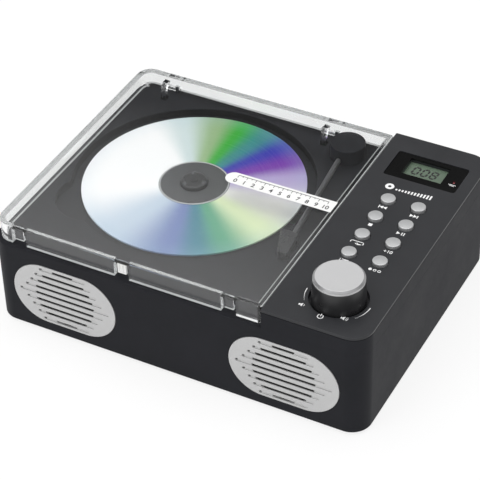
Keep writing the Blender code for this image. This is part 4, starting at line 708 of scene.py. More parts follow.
# %% Disc well, finger scoop and the pickup's slot
WELL_GAP = 0.0052
WELL_WALL = 0.0022
WELL_DEPTH = 0.0047
WELL_FLOOR_THICKNESS = 0.0020
WELL_RADIUS = DISC_RADIUS + WELL_GAP
WELL_FLOOR_Z = DECK_Z - WELL_DEPTH
WELL_UNDERSIDE = WELL_FLOOR_Z - WELL_FLOOR_THICKNESS
SCOOP_RADIUS = 0.0200
SCOOP_REACH = 0.0092
SCOOP_ANGLE = math.radians(-138)
HUB_HOLE_RADIUS = 0.0170
SLOT_HALF = 0.0055
LENS_ROOM = 0.0012
WELL_SEARCH = 0.001
WALL_SEARCH = 0.003
WELL_EDGE = 0.0005
lens_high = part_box("pickup_lens")[1]
PICKUP_TRAVEL = max(joint["range_m"][1] for joint in frame["joints"] if joint["name"] == "pickup_slide")
scoop_offset = WELL_RADIUS + SCOOP_REACH - SCOOP_RADIUS
SCOOP_X = DISC_MIDDLE.x + scoop_offset * math.cos(SCOOP_ANGLE)
SCOOP_Y = DISC_MIDDLE.y + scoop_offset * math.sin(SCOOP_ANGLE)


def well_bar(name, radius, bottom, top, x=DISC_MIDDLE.x, y=DISC_MIDDLE.y, sides=128):
    return round_bar(name, radius, (x, y, bottom), top - bottom, "z", sides)


def in_well(point):
    """True in the disc well and its finger scoop, but not at the case's outer wall."""
    return (math.dist(point.xy, DISC_MIDDLE.xy) < WELL_RADIUS + SCOOP_REACH + WELL_SEARCH
            and point.x > case_low.x + WALL_SEARCH)


wall_top = hollow_high[2] + FIT_GAP
join(case_body, well_bar("well_wall", WELL_RADIUS + WELL_WALL, WELL_UNDERSIDE, wall_top),
     well_bar("scoop_wall", SCOOP_RADIUS + WELL_WALL, WELL_UNDERSIDE, wall_top, SCOOP_X, SCOOP_Y))
cut(case_body, well_bar("well", WELL_RADIUS, WELL_FLOOR_Z, DECK_Z + OVERRUN),
    well_bar("scoop", SCOOP_RADIUS, WELL_FLOOR_Z, DECK_Z + OVERRUN, SCOOP_X, SCOOP_Y))
round_edges(case_body, WELL_EDGE, 3, lambda e: level(DECK_Z)(e) and sharp(e) and in_well(ends(e)[0]))
hole_bottom, hole_top = WELL_UNDERSIDE - OVERRUN, WELL_FLOOR_Z + OVERRUN
cut(case_body, well_bar("hub_hole", HUB_HOLE_RADIUS, hole_bottom, hole_top, sides=64),
    block("slot", (DISC_MIDDLE.x, DISC_MIDDLE.y - SLOT_HALF, hole_bottom),
          (lens_high.x + PICKUP_TRAVEL + LENS_ROOM, DISC_MIDDLE.y + SLOT_HALF, hole_top)))
print("well radius", round(WELL_RADIUS * 1000, 1), "mm, sunk", round(WELL_DEPTH * 1000, 1), "mm")

# %% Grille pockets, loudspeaker holes and back holes
GRILLES = {side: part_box("grille_" + side) for side in ("left", "right")}
NOZZLES = {"power_inlet": 0.0040, "audio_socket": 0.0030}
SPEAKER_SEAT = 0.0020
speaker_low, speaker_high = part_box("speaker_frame_left")
SPEAKER_HOLE_RADIUS = (speaker_high.x - speaker_low.x) / 2 - SPEAKER_SEAT


def stadium(name, low, high, sides=64):
    """Flat-sided oval between two corners that looks along Y: a round bar pulled apart."""
    radius = (high[2] - low[2]) / 2
    middle = [(a + b) / 2 for a, b in zip(low, high)]
    bpy.ops.object.select_all(action="DESELECT")
    bpy.ops.mesh.primitive_cylinder_add(vertices=sides, radius=radius, depth=high[1] - low[1],
                                        location=middle, rotation=(math.pi / 2, math.pi / sides, 0))
    piece = named(name)
    pull = (high[0] - low[0]) / 2 - radius
    for side in (-1, 1):
        choose(piece, "VERT", lambda vertex: (vertex.co.x - middle[0]) * side > 0)
        bpy.ops.transform.translate(value=(side * pull, 0, 0))
        done()
    return piece


for side, (low, high) in GRILLES.items():
    middle = (low + high) / 2
    cut(case_body, stadium("pocket", (low.x - FIT_GAP, case_low.y - OVERRUN, low.z - FIT_GAP),
                           (high.x + FIT_GAP, high.y + FIT_GAP, high.z + FIT_GAP)),
        round_bar("speaker_hole", SPEAKER_HOLE_RADIUS, (middle.x, case_low.y, middle.z),
                  CASE_WALL + OVERRUN, "y", 64))
for socket, nozzle in NOZZLES.items():
    middle = middle_of(socket)
    place = (middle.x, case_high.y - CASE_WALL - OVERRUN, middle.z)
    cut(case_body, round_bar("socket_hole", nozzle + FIT_GAP, place, CASE_WALL + 2 * OVERRUN, "y",
                             SMALL_SIDES))
print("pockets for", len(GRILLES), "grilles and holes for two sockets")

# %% Hinge ears and slots for the lid's arms
EAR_THICKNESS = 0.0016
KNUCKLE_RADIUS = 0.0018
KNUCKLE_LENGTH = 0.0060
PIN_BORE = 0.0009
ARM_THICKNESS = 0.0030
ARM_INNER = 0.0082
ARM_OUTER = 0.0106
HINGES = [middle_of("hinge_pin_" + side) for side in ("left", "right")]
EAR_OFFSET = (KNUCKLE_LENGTH + EAR_THICKNESS) / 2 + FIT_GAP


def ear(x):
    """Upright tab with a round head, bored for the hinge pin."""
    middle = HINGES[0]
    piece = block("ear", (x - EAR_THICKNESS / 2, middle.y - KNUCKLE_RADIUS, DECK_Z - FIT_GAP),
                  (x + EAR_THICKNESS / 2, middle.y + KNUCKLE_RADIUS, middle.z + KNUCKLE_RADIUS))
    top = middle.z + KNUCKLE_RADIUS
    return round_edges(piece, KNUCKLE_RADIUS * 0.98, 8, lambda e: is_along(e, 0) and level(top)(e))


for hinge in HINGES:
    join(case_body, ear(hinge.x - EAR_OFFSET), ear(hinge.x + EAR_OFFSET))
    reach = EAR_OFFSET + EAR_THICKNESS
    slot_reach = math.sqrt(ARM_INNER ** 2 - (hinge.z - DECK_Z + DECK_THICKNESS) ** 2)
    cut(case_body, round_bar("bore", PIN_BORE, (hinge.x - reach, hinge.y, hinge.z), 2 * reach, "x", 24),
        block("arm_slot", (hinge.x - ARM_THICKNESS / 2 - FIT_GAP, hinge.y - ARM_OUTER - FIT_GAP,
                           DECK_Z - DECK_THICKNESS - OVERRUN),
              (hinge.x + ARM_THICKNESS / 2 + FIT_GAP, hinge.y - slot_reach + FIT_GAP, DECK_Z + OVERRUN)))

# %% Screw columns under the deck
COLUMN_RADIUS = 0.0035
COLUMN_BORE = 0.0015
SCREW_HEAD_TO_COLUMN = 0.0036
TOWER_COLUMN_TOP = 0.0400
RIB_HALF = 0.001
RIB_INSET = 0.002
CORNERS = ("front_left", "front_right", "back_right", "back_left")
for corner in CORNERS:
    low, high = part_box("cover_screw_" + corner)
    x, y = (low.x + high.x) / 2, (low.y + high.y) / 2
    top = TOWER_COLUMN_TOP if x > 0 else DECK_Z - DECK_THICKNESS + FIT_GAP
    wall = math.copysign(case_high.x - CASE_WALL / 2, x)
    bottom = low.z + SCREW_HEAD_TO_COLUMN
    join(case_body, round_bar("column", COLUMN_RADIUS, (x, y, bottom), top - bottom, "z", 24),
         block("rib", (min(x, wall), y - RIB_HALF, bottom + RIB_INSET),
               (max(x, wall), y + RIB_HALF, top - RIB_INSET)))
    cut(case_body, round_bar("column_bore", COLUMN_BORE, (x, y, low.z), high.z - low.z + FIT_GAP, "z", 16))
clean(case_body)
smooth(case_body)
case_body.data.materials.clear()
case_body.data.materials.append(CASE_BLACK)
# The well's upright walls take the darker copy of the plastic: painted shade.
second_finish(case_body, WELL_PAINTED_SHADE, lambda face: abs(face.normal.z) < 0.1
              and WELL_FLOOR_Z < face.calc_center_median().z < DECK_Z
              and in_well(face.calc_center_median()))
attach(case_body, "housing")
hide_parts("case")
print("case body:", len(case_body.data.polygons), "faces")

# %% [markdown]
# ## Dressing a finished piece
# Every piece gets its finish and rides on the body that carries it, and the plain solids that it
# stands for are hidden.

# %% Dress


def dress(piece, finish, body, slot, *nodes):
    if not piece.data.materials:
        piece.data.materials.append(finish)
    else:
        piece.data.materials[0] = finish
    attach(piece, body)
    if nodes:
        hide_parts(*nodes)
    return piece


# %% [markdown]
# ## Control panel
# The panel is a thin plate that closes the control block, with a shadow line under it. Its holes
# are cut with the same centres as the buttons, knob and window that pass through them.

# %% Panel plate and its holes
PANEL_PLATE = 0.0014
PANEL_TOP = panel_high.z
PANEL_EDGE = 0.0004
PANEL_RIM = 0.0005
BUTTON_NAMES = ("previous", "next", "stop", "play", "repeat", "ten_on", "program", "mode")
BUTTON_RADIUS = 0.00385
knob_low, knob_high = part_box("knob_skirt")
KNOB_MIDDLE = middle_of("knob_skirt")
KNOB_BASE_RADIUS = (knob_high.x - knob_low.x) / 2
KNOB_WELL_GAP = 0.0009
KNOB_WELL_DEPTH = 0.0025
KNOB_WELL_RADIUS = KNOB_BASE_RADIUS + KNOB_WELL_GAP
KNOB_WELL_FLOOR = PANEL_TOP - KNOB_WELL_DEPTH
KNOB_WELL_WALL = 0.0016
KNOB_WELL_EDGE = 0.0004
SHAFT_HOLE_RADIUS = 0.0030
window_low, window_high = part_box("display_window")
lamp_low, lamp_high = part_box("power_lamp")
LAMP_MIDDLE = middle_of("power_lamp")
LAMP_RADIUS = (lamp_high.x - lamp_low.x) / 2
LAMP_BASE_DROP = 0.005
display_low, display_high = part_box("display_module")
SHELF = 0.0012
SHELF_MARGIN = 0.0020
OPENING_MARGIN = 0.0022
WINDOW_CORNER = 0.0016
POST_RADIUS = 0.0022
POST_INSET = 0.0075
POST_REACH = 0.0370

plate_under = PANEL_TOP - PANEL_PLATE
control_panel = rounded_block("panel_plate", (panel_low.x, panel_low.y, plate_under), panel_high,
                              CASE_CORNER, panel_high.x)
round_edges(control_panel, PANEL_EDGE, 3, upright(panel_low.x))
round_edges(control_panel, PANEL_RIM, 4, level(PANEL_TOP))
join(control_panel,
     block("shelf", (window_low.x - SHELF_MARGIN, window_low.y - SHELF_MARGIN, plate_under - SHELF),
           (window_high.x + SHELF_MARGIN, window_high.y + SHELF_MARGIN, plate_under + JOINT_OVERLAP)),
     round_bar("knob_well", KNOB_WELL_RADIUS + KNOB_WELL_WALL,
               over(KNOB_MIDDLE, KNOB_WELL_FLOOR - KNOB_WELL_WALL),
               plate_under + JOINT_OVERLAP - KNOB_WELL_FLOOR + KNOB_WELL_WALL))
cut(control_panel, round_bar("pocket", KNOB_WELL_RADIUS, over(KNOB_MIDDLE, KNOB_WELL_FLOOR), DRILL_LENGTH))
round_edges(control_panel, KNOB_WELL_EDGE, 3, lambda e: level(PANEL_TOP)(e) and sharp(e)
            and math.dist(ends(e)[0].xy, KNOB_MIDDLE.xy) < KNOB_WELL_RADIUS + TOUCH)
shaft_start = over(KNOB_MIDDLE, KNOB_WELL_FLOOR - DRILL_LENGTH)
cut(control_panel, round_bar("shaft_hole", SHAFT_HOLE_RADIUS, shaft_start, 2 * DRILL_LENGTH, "z", 24))
cut(control_panel, rounded_block("window_seat",
                                 (window_low.x - FIT_GAP, window_low.y - FIT_GAP, plate_under),
                                 (window_high.x + FIT_GAP, window_high.y + FIT_GAP, PANEL_TOP + OVERRUN),
                                 WINDOW_CORNER))
cut(control_panel, block("display_opening",
                         (display_low.x + OPENING_MARGIN, display_low.y + OPENING_MARGIN, display_high.z),
                         (display_high.x - OPENING_MARGIN, display_high.y - OPENING_MARGIN, PANEL_TOP)),
    round_bar("lamp_hole", LAMP_RADIUS + FIT_GAP, over(LAMP_MIDDLE, lamp_high.z - LAMP_BASE_DROP),
              DRILL_LENGTH, "z", 24))
for name in BUTTON_NAMES:
    hole_start = over(middle_of("button_" + name), plate_under - OVERRUN)
    cut(control_panel, round_bar("hole", BUTTON_RADIUS + FIT_GAP, hole_start, DRILL_LENGTH, "z", 48))
for x in (panel_low.x + POST_INSET, panel_high.x - POST_INSET):
    for y in (-POST_REACH, POST_REACH):
        join(control_panel, round_bar("post", POST_RADIUS, (x, y, panel_low.z),
                                      plate_under + JOINT_OVERLAP - panel_low.z, "z", 16))
clean(control_panel)
smooth(control_panel)
dress(control_panel, PANEL_BLACK, "housing", "satin_black_plastic", "control_panel")
print("panel:", len(control_panel.data.polygons), "faces,", len(BUTTON_NAMES), "button holes")

# %% [markdown]
# ## Push buttons
# Each button is a silver painted cap with a soft edge and a slightly crowned top, on a flange
# that stays under the panel. Each has its own mesh, because each moves on its own.

# %% Buttons
BUTTON_EDGE = 0.0006
BUTTON_CROWN = 0.00018
FLANGE_WIDTH = 0.0010
FLANGE_START = 0.0001
STEM_RADIUS = 0.0018
CROWN_SHARES = (0.45, 0.35)
CROWN_TAPER = 0.8


def make_button(name):
    low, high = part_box("button_" + name)
    middle = middle_of("button_" + name)
    flange_top = plate_under - FIT_GAP
    piece = round_bar("button_cap_" + name, BUTTON_RADIUS, over(middle, flange_top),
                      high.z - BUTTON_CROWN - flange_top, "z", 48)
    choose(piece, "FACE", lambda face: face.normal.z > 0.9)
    bpy.ops.mesh.inset(thickness=BUTTON_EDGE, depth=0)
    for share in CROWN_SHARES:
        bpy.ops.mesh.inset(thickness=BUTTON_RADIUS * share * CROWN_TAPER, depth=0)
        bpy.ops.transform.translate(value=(0, 0, BUTTON_CROWN * share / CROWN_TAPER))
    done()
    round_edges(piece, BUTTON_EDGE * 0.9, 4, lambda e: level(high.z - BUTTON_CROWN)(e)
                and math.dist(ends(e)[0].xy, middle.xy) > BUTTON_RADIUS - TOUCH)
    choose(piece, "FACE", lambda face: face.normal.z < -0.9)
    bpy.ops.mesh.inset(thickness=FLANGE_START, depth=0)
    flare = (BUTTON_RADIUS + FLANGE_WIDTH) / BUTTON_RADIUS
    bpy.ops.transform.resize(value=(flare, flare, 1), center_override=over(middle, flange_top))
    extrude(-FLANGE_WIDTH)
    bpy.ops.mesh.inset(thickness=BUTTON_RADIUS + FLANGE_WIDTH - STEM_RADIUS, depth=0)
    extrude(low.z - flange_top + FLANGE_WIDTH)
    done()
    smooth(clean(piece))
    return dress(piece, SILVER_PAINT, "button_" + name, "silver_finish", "button_" + name)


buttons = [make_button(name) for name in BUTTON_NAMES]
print(len(buttons), "buttons of", len(buttons[0].data.polygons), "faces")

# %% [markdown]
# ## Printed marks
# White symbols printed beside the buttons say what each one does. They are plain symbols that
# every such player uses: triangles, bars, a square, a loop. Each is a very thin plate of ink,
# cut from simple flat shapes and laid on the panel.

# %% Flat ink shapes
INK_THICKNESS = 0.00004
INK_LIFT = 0.00001


def settle_ink(curve_object, height, thickness):
    """Turn a flat curve into a closed thin plate at a height."""
    alone(curve_object)
    bpy.ops.object.convert(target="MESH")
    piece = bpy.context.object
    choose(piece, "VERT", lambda vertex: True)
    bpy.ops.mesh.remove_doubles(threshold=MERGE_STEP / 5)
    bpy.ops.mesh.normals_make_consistent(inside=False)
    done()
    piece.location.z = height + thickness / 2
    return settle(piece)


def ink_outlines(name, loops, height, thickness=INK_THICKNESS):
    """Thin plate with the given closed outlines; an outline inside another is a hole."""
    curve = bpy.data.curves.new(name, "CURVE")
    curve.dimensions = "2D"
    curve.fill_mode = "BOTH"
    curve.extrude = thickness / 2
    for loop in loops:
        spline = curve.splines.new("POLY")
        spline.points.add(len(loop) - 1)
        for point, (x, y) in zip(spline.points, loop):
            point.co = (x, y, 0, 1)
        spline.use_cyclic_u = True
    made = bpy.data.objects.new(name, curve)
    bpy.context.scene.collection.objects.link(made)
    return settle_ink(made, height, thickness)


def arc_points(x, y, radius, first, last, steps=16):
    turns = [math.radians(first + (last - first) * i / steps) for i in range(steps + 1)]
    return [(x + radius * math.cos(turn), y + radius * math.sin(turn)) for turn in turns]


def ring_part(x, y, radius, width, first, last, steps=24):
    """Band of ink along an arc."""
    outer = arc_points(x, y, radius + width / 2, first, last, steps)
    inner = arc_points(x, y, radius - width / 2, last, first, steps)
    return outer + inner


def bar(x, y, width, height):
    """Upright bar of ink round a middle point."""
    return [(x - width / 2, y - height / 2), (x + width / 2, y - height / 2),
            (x + width / 2, y + height / 2), (x - width / 2, y + height / 2)]


def triangle(x, y, size, direction):
    """Triangle that points left or right; x is its base."""
    return [(x, y - size / 2), (x + direction * size * 0.85, y), (x, y + size / 2)]


# %% Symbols of the buttons
SYMBOL_SIZE = 0.0023
SYMBOL_DROP = 0.0063
BAR_WIDTH = 0.0005
TEN_SIZE = 0.0031
TEN_BOLD = 0.00004


def skip_symbol(x, y, direction):
    step = SYMBOL_SIZE * 0.85
    start = x - direction * step
    return [triangle(start, y, SYMBOL_SIZE, direction),
            triangle(start + direction * step, y, SYMBOL_SIZE, direction),
            bar(start + direction * (2 * step + BAR_WIDTH / 2), y, BAR_WIDTH, SYMBOL_SIZE)]


def play_symbol(x, y):
    start = x - SYMBOL_SIZE
    return [triangle(start, y, SYMBOL_SIZE, 1)] + [
        bar(start + SYMBOL_SIZE * share, y, BAR_WIDTH, SYMBOL_SIZE) for share in (1.25, 1.75)]


def loop_symbol(x, y):
    """Flat loop with an arrow head: play again."""
    half = SYMBOL_SIZE * 1.1
    radius = SYMBOL_SIZE * 0.5
    width = BAR_WIDTH * 0.8
    inner_radius = radius - width
    outer = arc_points(x + half, y, radius, -90, 90) + arc_points(x - half, y, radius, 90, 215)
    inner = arc_points(x - half, y, inner_radius, 215, 90) + arc_points(x + half, y, inner_radius, 90, -90)
    foot = y - radius + width / 2
    return [outer + inner, bar(x + half / 2, foot, half, width),
            triangle(x + half * 0.25, foot, SYMBOL_SIZE * 0.75, -1)]


def list_symbol(x, y):
    """Three lines with a dot before each: a programmed list."""
    loops = []
    for step in (-1, 0, 1):
        row = y + step * SYMBOL_SIZE * 0.42
        loops.append(bar(x + SYMBOL_SIZE * 0.2, row, SYMBOL_SIZE * 1.5, SYMBOL_SIZE * 0.2))
        loops.append(bar(x - SYMBOL_SIZE * 0.95, row, SYMBOL_SIZE * 0.25, SYMBOL_SIZE * 0.2))
    return loops


def choice_symbol(x, y):
    """Row of a filled dot and two rings: choose one of three."""
    step = SYMBOL_SIZE * 1.05
    radius = SYMBOL_SIZE * 0.4
    loops = [arc_points(x - step, y, radius, 0, 345)]
    for place in (x, x + step):
        loops.append(arc_points(place, y, radius, 0, 345))
        loops.append(arc_points(place, y, radius * 0.55, 0, 345))
    return loops


def symbol_loops(name, x, y):
    if name in ("previous", "next"):
        return skip_symbol(x, y, 1 if name == "next" else -1)
    makers = {"play": play_symbol, "repeat": loop_symbol, "program": list_symbol, "mode": choice_symbol,
              "stop": lambda x, y: [bar(x, y, SYMBOL_SIZE * 0.9, SYMBOL_SIZE * 0.9)]}
    return makers[name](x, y)


def flat_text(name, words, x, y, size, height, bold):
    """Plain figures laid flat, middle at x and y."""
    curve = bpy.data.curves.new(name, "FONT")
    curve.body = words
    curve.size = size
    curve.align_x = "CENTER"
    curve.align_y = "CENTER"
    curve.extrude = INK_THICKNESS / 2
    curve.offset = bold
    made = bpy.data.objects.new(name, curve)
    made.location = (x, y, 0)
    bpy.context.scene.collection.objects.link(made)
    return settle_ink(made, height, INK_THICKNESS)


ink_height = PANEL_TOP + INK_LIFT
marks = []
for name in BUTTON_NAMES:
    middle = middle_of("button_" + name)
    x, y = middle.x, middle.y - SYMBOL_DROP
    if name == "ten_on":
        marks.append(flat_text("mark_ten_on", "+10", x, y, TEN_SIZE, ink_height, bold=TEN_BOLD))
    else:
        marks.append(ink_outlines("mark_" + name, symbol_loops(name, x, y), ink_height))

# %% Marks round the knob
ARC_RADIUS = 0.0168
ARC_WIDTH = 0.0005
POWER_MARK = (0.0786, -0.0719)
POWER_RADIUS = 0.0014
POWER_LINE = 0.00045
POWER_BAR = 0.0019
POWER_BAR_LIFT = 0.0011
QUIET_MARK = (0.0668, -0.0680)
LOUD_MARK = (0.0892, -0.0682)
SPEAKER_SIZE = 0.0024


def power_symbol(x, y):
    return [ring_part(x, y, POWER_RADIUS, POWER_LINE, 125, 415),
            bar(x, y + POWER_BAR_LIFT, POWER_LINE, POWER_BAR)]


def speaker_symbol(x, y, size, waves):
    """Small loudspeaker seen from the side, with sound waves."""
    loops = [bar(x - size * 0.45, y, size * 0.35, size * 0.5),
             [(x - size * 0.2, y - size * 0.25), (x + size * 0.2, y - size * 0.55),
              (x + size * 0.2, y + size * 0.55), (x - size * 0.2, y + size * 0.25)]]
    for wave in range(waves):
        loops.append(ring_part(x + size * 0.15, y, size * (0.42 + 0.3 * wave), size * 0.1, -45, 45, 8))
    return loops


def tapered_arc(first, last, steps=24):
    """Band of ink round the knob that grows from a point to its full width."""
    outer, inner = [], []
    for i in range(steps + 1):
        half = ARC_WIDTH / 2 * (0.15 + 0.85 * i / steps)
        turn = math.radians(first + (last - first) * i / steps)
        for line, reach in ((outer, ARC_RADIUS + half), (inner, ARC_RADIUS - half)):
            line.append((knob_x + reach * math.cos(turn), knob_y + reach * math.sin(turn)))
    return outer + inner[::-1]


knob_x, knob_y = KNOB_MIDDLE.x, KNOB_MIDDLE.y
marks.append(ink_outlines("mark_power", power_symbol(*POWER_MARK), ink_height))
marks.append(ink_outlines("mark_quiet", speaker_symbol(*QUIET_MARK, SPEAKER_SIZE, 1)
                          + [tapered_arc(212, 181)], ink_height))
marks.append(ink_outlines("mark_loud", speaker_symbol(*LOUD_MARK, SPEAKER_SIZE, 2)
                          + [tapered_arc(-38, -1)], ink_height))

# %% Plain level scale under the window
SCALE_LEFT = 0.0668
SCALE_Y = 0.0355
SCALE_BARS = 12
SCALE_STEP = 0.0017
SCALE_DOT_RADII = (0.0024, 0.0009)
SCALE_BAR_WIDTH = 0.0009
SCALE_BAR_START = 0.0042
SCALE_BAR_FOOT = 0.0017
SCALE_LOWEST = 0.0010
SCALE_GROWTH = 0.0024
scale_loops = [arc_points(SCALE_LEFT, SCALE_Y, radius, 0, 345) for radius in SCALE_DOT_RADII]
for index in range(SCALE_BARS):
    tall = SCALE_LOWEST + SCALE_GROWTH * (index + 1) / SCALE_BARS
    scale_loops.append(bar(SCALE_LEFT + SCALE_BAR_START + index * SCALE_STEP,
                           SCALE_Y - SCALE_BAR_FOOT + tall / 2, SCALE_BAR_WIDTH, tall))
marks.append(ink_outlines("mark_level_scale", scale_loops, ink_height))
for mark in marks:
    dress(mark, WHITE_INK, "housing", "white_plastic")
print(len(marks), "printed marks")

# %% [markdown]
# ## Knob
# The skirt is turned from half gloss black plastic and widens downwards. The silver cap on top is
# a spun disc: its fine rings run round the middle and its rim is cut at a slant. That slant is
# painted a darker silver, a painted shade, which gives the line round the top.

# %% Knob skirt and cap
cap_low, cap_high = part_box("knob_cap")
CAP_RADIUS = (cap_high.x - cap_low.x) / 2
CAP_CHAMFER = 0.0011
CAP_EDGE = 0.00012
CAP_SEARCH = 0.0005
CAP_STEPS = ((0.0004, 0), (0.0030, -0.00008))
KNOB_WALL = 0.0015
KNOB_EDGE = 0.0003
SKIRT_SEARCH = 0.001
KNOB_TOP_WALL = 0.003
BOSS_RADIUS = 0.0062
BOSS_WALL = 0.0020
BOSS_BORE = 0.0056
SPUN_RINGS_PER_METRE = 6000.0
SPUN_DEPTH = 0.000008


def make_spun_silver():
    finish, tree, shader = new_finish("spun silver cap", 0.3, metallic=0.3)
    share, reach = turn_and_reach(tree, centred_place(tree, (knob_x, knob_y, 0)))
    rings = add_node(tree, "ShaderNodeTexNoise", noise_dimensions="1D")
    set_inputs(rings, Scale=SPUN_RINGS_PER_METRE, Detail=3.0)
    tree.links.new(reach, rings.inputs["W"])
    handled(tree, shader, 0.26, 0.36)
    colour_with(tree, shader, rings.outputs["Fac"], (0.48, 0.48, 0.485), (0.60, 0.60, 0.605))
    bump(tree, shader, rings.outputs["Fac"], SPUN_DEPTH)
    return finish


def make_knob():
    skirt = round_bar("knob_grip", CAP_RADIUS, (knob_x, knob_y, knob_low.z), knob_high.z - knob_low.z)
    choose(skirt, "FACE", lambda face: face.normal.z < -0.9)
    flare = KNOB_BASE_RADIUS / CAP_RADIUS
    bpy.ops.transform.resize(value=(flare, flare, 1), center_override=(knob_x, knob_y, knob_low.z))
    bpy.ops.mesh.inset(thickness=KNOB_WALL, depth=0)
    extrude(knob_high.z - knob_low.z - KNOB_TOP_WALL)
    bpy.ops.mesh.inset(thickness=CAP_RADIUS - BOSS_RADIUS, depth=0)
    extrude(PANEL_TOP - knob_high.z + KNOB_TOP_WALL)
    bpy.ops.mesh.inset(thickness=BOSS_WALL, depth=0)
    extrude(BOSS_BORE)
    done()
    round_edges(skirt, KNOB_EDGE, 3, lambda e: sharp(e)
                and math.dist(ends(e)[0].xy, (knob_x, knob_y)) > CAP_RADIUS - SKIRT_SEARCH)
    smooth(clean(skirt))
    dress(skirt, KNOB_BLACK, "knob", "gloss_black_plastic", "knob_skirt")
    cap = round_bar("knob_top", CAP_RADIUS, (knob_x, knob_y, cap_low.z), cap_high.z - cap_low.z)
    round_edges(cap, CAP_CHAMFER, 1, level(cap_high.z))
    round_edges(cap, CAP_EDGE, 3, lambda e: e.calc_face_angle(0) > 0.6
                and ends(e)[0].z > cap_low.z + CAP_SEARCH)
    stepped(cap, lambda face: face.normal.z > 0.9999, CAP_STEPS)
    smooth(clean(cap))
    dress(cap, make_spun_silver(), "knob", "silver_finish", "knob_cap")
    # The slanted rim gets a darker silver than the top: painted shade.
    chamfer_painted_shade = make_silver("silver chamfer with painted shade", (0.26, 0.26, 0.265), (0.34, 0.34, 0.345), 0.3, 0.7)
    second_finish(cap, chamfer_painted_shade, lambda face: 0.2 < face.normal.z < 0.9)


make_knob()
print("knob:", round(CAP_RADIUS * 2000, 1), "mm across the top")

# %% [markdown]
# ## Display
# A dark window lies flush in the panel. Below it a small liquid crystal glass shows three figures
# made of straight segments, and a lamp glows beside it.

# %% Window, glass and figures
def make_window_finish():
    finish, tree, shader = new_finish("smoked window", 0.05, specular=0.2)
    patch = handled(tree, shader, 0.03, 0.08)
    colour_with(tree, shader, patch, (0.004, 0.004, 0.004), (0.007, 0.007, 0.007))
    bump(tree, shader, noise(tree, object_place(tree), 60.0, 1.0), 0.000002)
    return finish


def make_display_glass():
    finish, tree, shader = new_finish("liquid crystal glass", 0.25)
    glow = noise(tree, centred_place(tree, over(middle_of("display_module"), 0)), 90.0, 1.0)
    colour_with(tree, shader, glow, to_linear((0.33, 0.39, 0.33)), to_linear((0.41, 0.47, 0.41)))
    handled(tree, shader, 0.18, 0.3)
    bump(tree, shader, glow, 0.000003)
    return finish


WINDOW_EDGE = 0.00015
GLASS_LEFT, GLASS_RIGHT = display_low.x + OPENING_MARGIN, display_high.x - OPENING_MARGIN
GLASS_FRONT, GLASS_BACK = display_low.y + OPENING_MARGIN, display_high.y - OPENING_MARGIN
window = rounded_block("window_plate", window_low, window_high, WINDOW_CORNER - FIT_GAP)
round_edges(window, WINDOW_EDGE, 2, level(window_high.z))
cut(window, block("glass_hole", (GLASS_LEFT, GLASS_FRONT, window_low.z - OVERRUN),
                  (GLASS_RIGHT, GLASS_BACK, window_high.z + OVERRUN)),
    round_bar("lamp_hole", LAMP_RADIUS, over(LAMP_MIDDLE, window_low.z - OVERRUN), DRILL_LENGTH, "z", 24))
smooth(clean(window))
dress(window, make_window_finish(), "housing", "gloss_black_plastic", "display_window")
DIGIT_HEIGHT = 0.0058
DIGIT_WIDTH = 0.0030
DIGIT_STROKE = 0.0010
DIGIT_STEP = 0.0050
DIGIT_SLANT = 0.12
DIGITS_BACK = 0.0009
DIGITS_LEFT = 0.0008
SEGMENTS = {"0": "abcdef", "8": "abcdefg"}


def segment_loops(letters, x, y):
    """Seven-segment figure whose straight strokes have pointed ends."""
    half_width, half_height, half = DIGIT_WIDTH / 2, DIGIT_HEIGHT / 2, DIGIT_STROKE / 2
    lying = {"a": half_height, "g": 0, "d": -half_height}
    standing = {"f": (-half_width, half_height), "b": (half_width, half_height), "e": (-half_width, 0),
                "c": (half_width, 0)}
    gap = half * 0.35
    loops = []
    for letter in letters:
        if letter in lying:
            row, tip = lying[letter], half_width - gap
            loop = [(-tip, row), (-tip + half, row - half), (tip - half, row - half),
                    (tip, row), (tip - half, row + half), (-tip + half, row + half)]
        else:
            column, top = standing[letter]
            low, high = top - half_height + gap, top - gap
            loop = [(column, low), (column + half, low + half), (column + half, high - half),
                    (column, high), (column - half, high - half), (column - half, low + half)]
        loops.append([(x + px + DIGIT_SLANT * py, y + py) for px, py in loop])
    return loops


digit_y = (GLASS_FRONT + GLASS_BACK) / 2 + DIGITS_BACK
digit_x = (GLASS_LEFT + GLASS_RIGHT) / 2 - DIGITS_LEFT
digits = []
for index, figure in enumerate("008"):
    digits += segment_loops(SEGMENTS[figure], digit_x + (index - 1) * DIGIT_STEP, digit_y)
figures = ink_outlines("display_figures", digits, display_high.z + INK_LIFT)
dress(figures, BLACK_INK, "housing", "display_glass")
# Two short printed lines in front of the lamp: how far in front, and how long.
LAMP_LINES = ((0.0017, 0.0042), (0.0025, 0.0026))
LAMP_LINE_WIDTH = 0.00035
lamp_loops = [bar(LAMP_MIDDLE.x, lamp_low.y - drop, length, LAMP_LINE_WIDTH) for drop, length in LAMP_LINES]
lamp_mark = ink_outlines("mark_lamp", lamp_loops, window_high.z + INK_LIFT)
dress(lamp_mark, WHITE_INK, "housing", "white_plastic")
print("display opening", round((GLASS_RIGHT - GLASS_LEFT) * 1000, 1), "by",
      round((GLASS_BACK - GLASS_FRONT) * 1000, 1), "mm")

# %% [markdown]
# ## Clear lid
# The lid is a shallow tray of clear acrylic turned upside down. A glass shader bends light at
# every wall, so the walls have their real thickness. The faces of the lower rim, and the thin edges
# on the right, are painted pale: a painted highlight that draws the pale double line round the lid.
# It is cut from one rounded block, like a moulded part.

# %% Lid shell
LID_WALL = 0.0028
LID_PLATE = 0.0020
LID_CORNER = 0.0083
LID_RIGHT_CORNER = 0.0012
LID_EDGE = 0.0007
LID_INNER_EDGE = 0.0005
LID_LEAST_CORNER = 0.0006
LID_BOTTOM = DECK_Z + FIT_GAP
NOTCH_WIDTH = 0.0084
TAB_WIDTH = 0.0050
TAB_THICKNESS = 0.0016
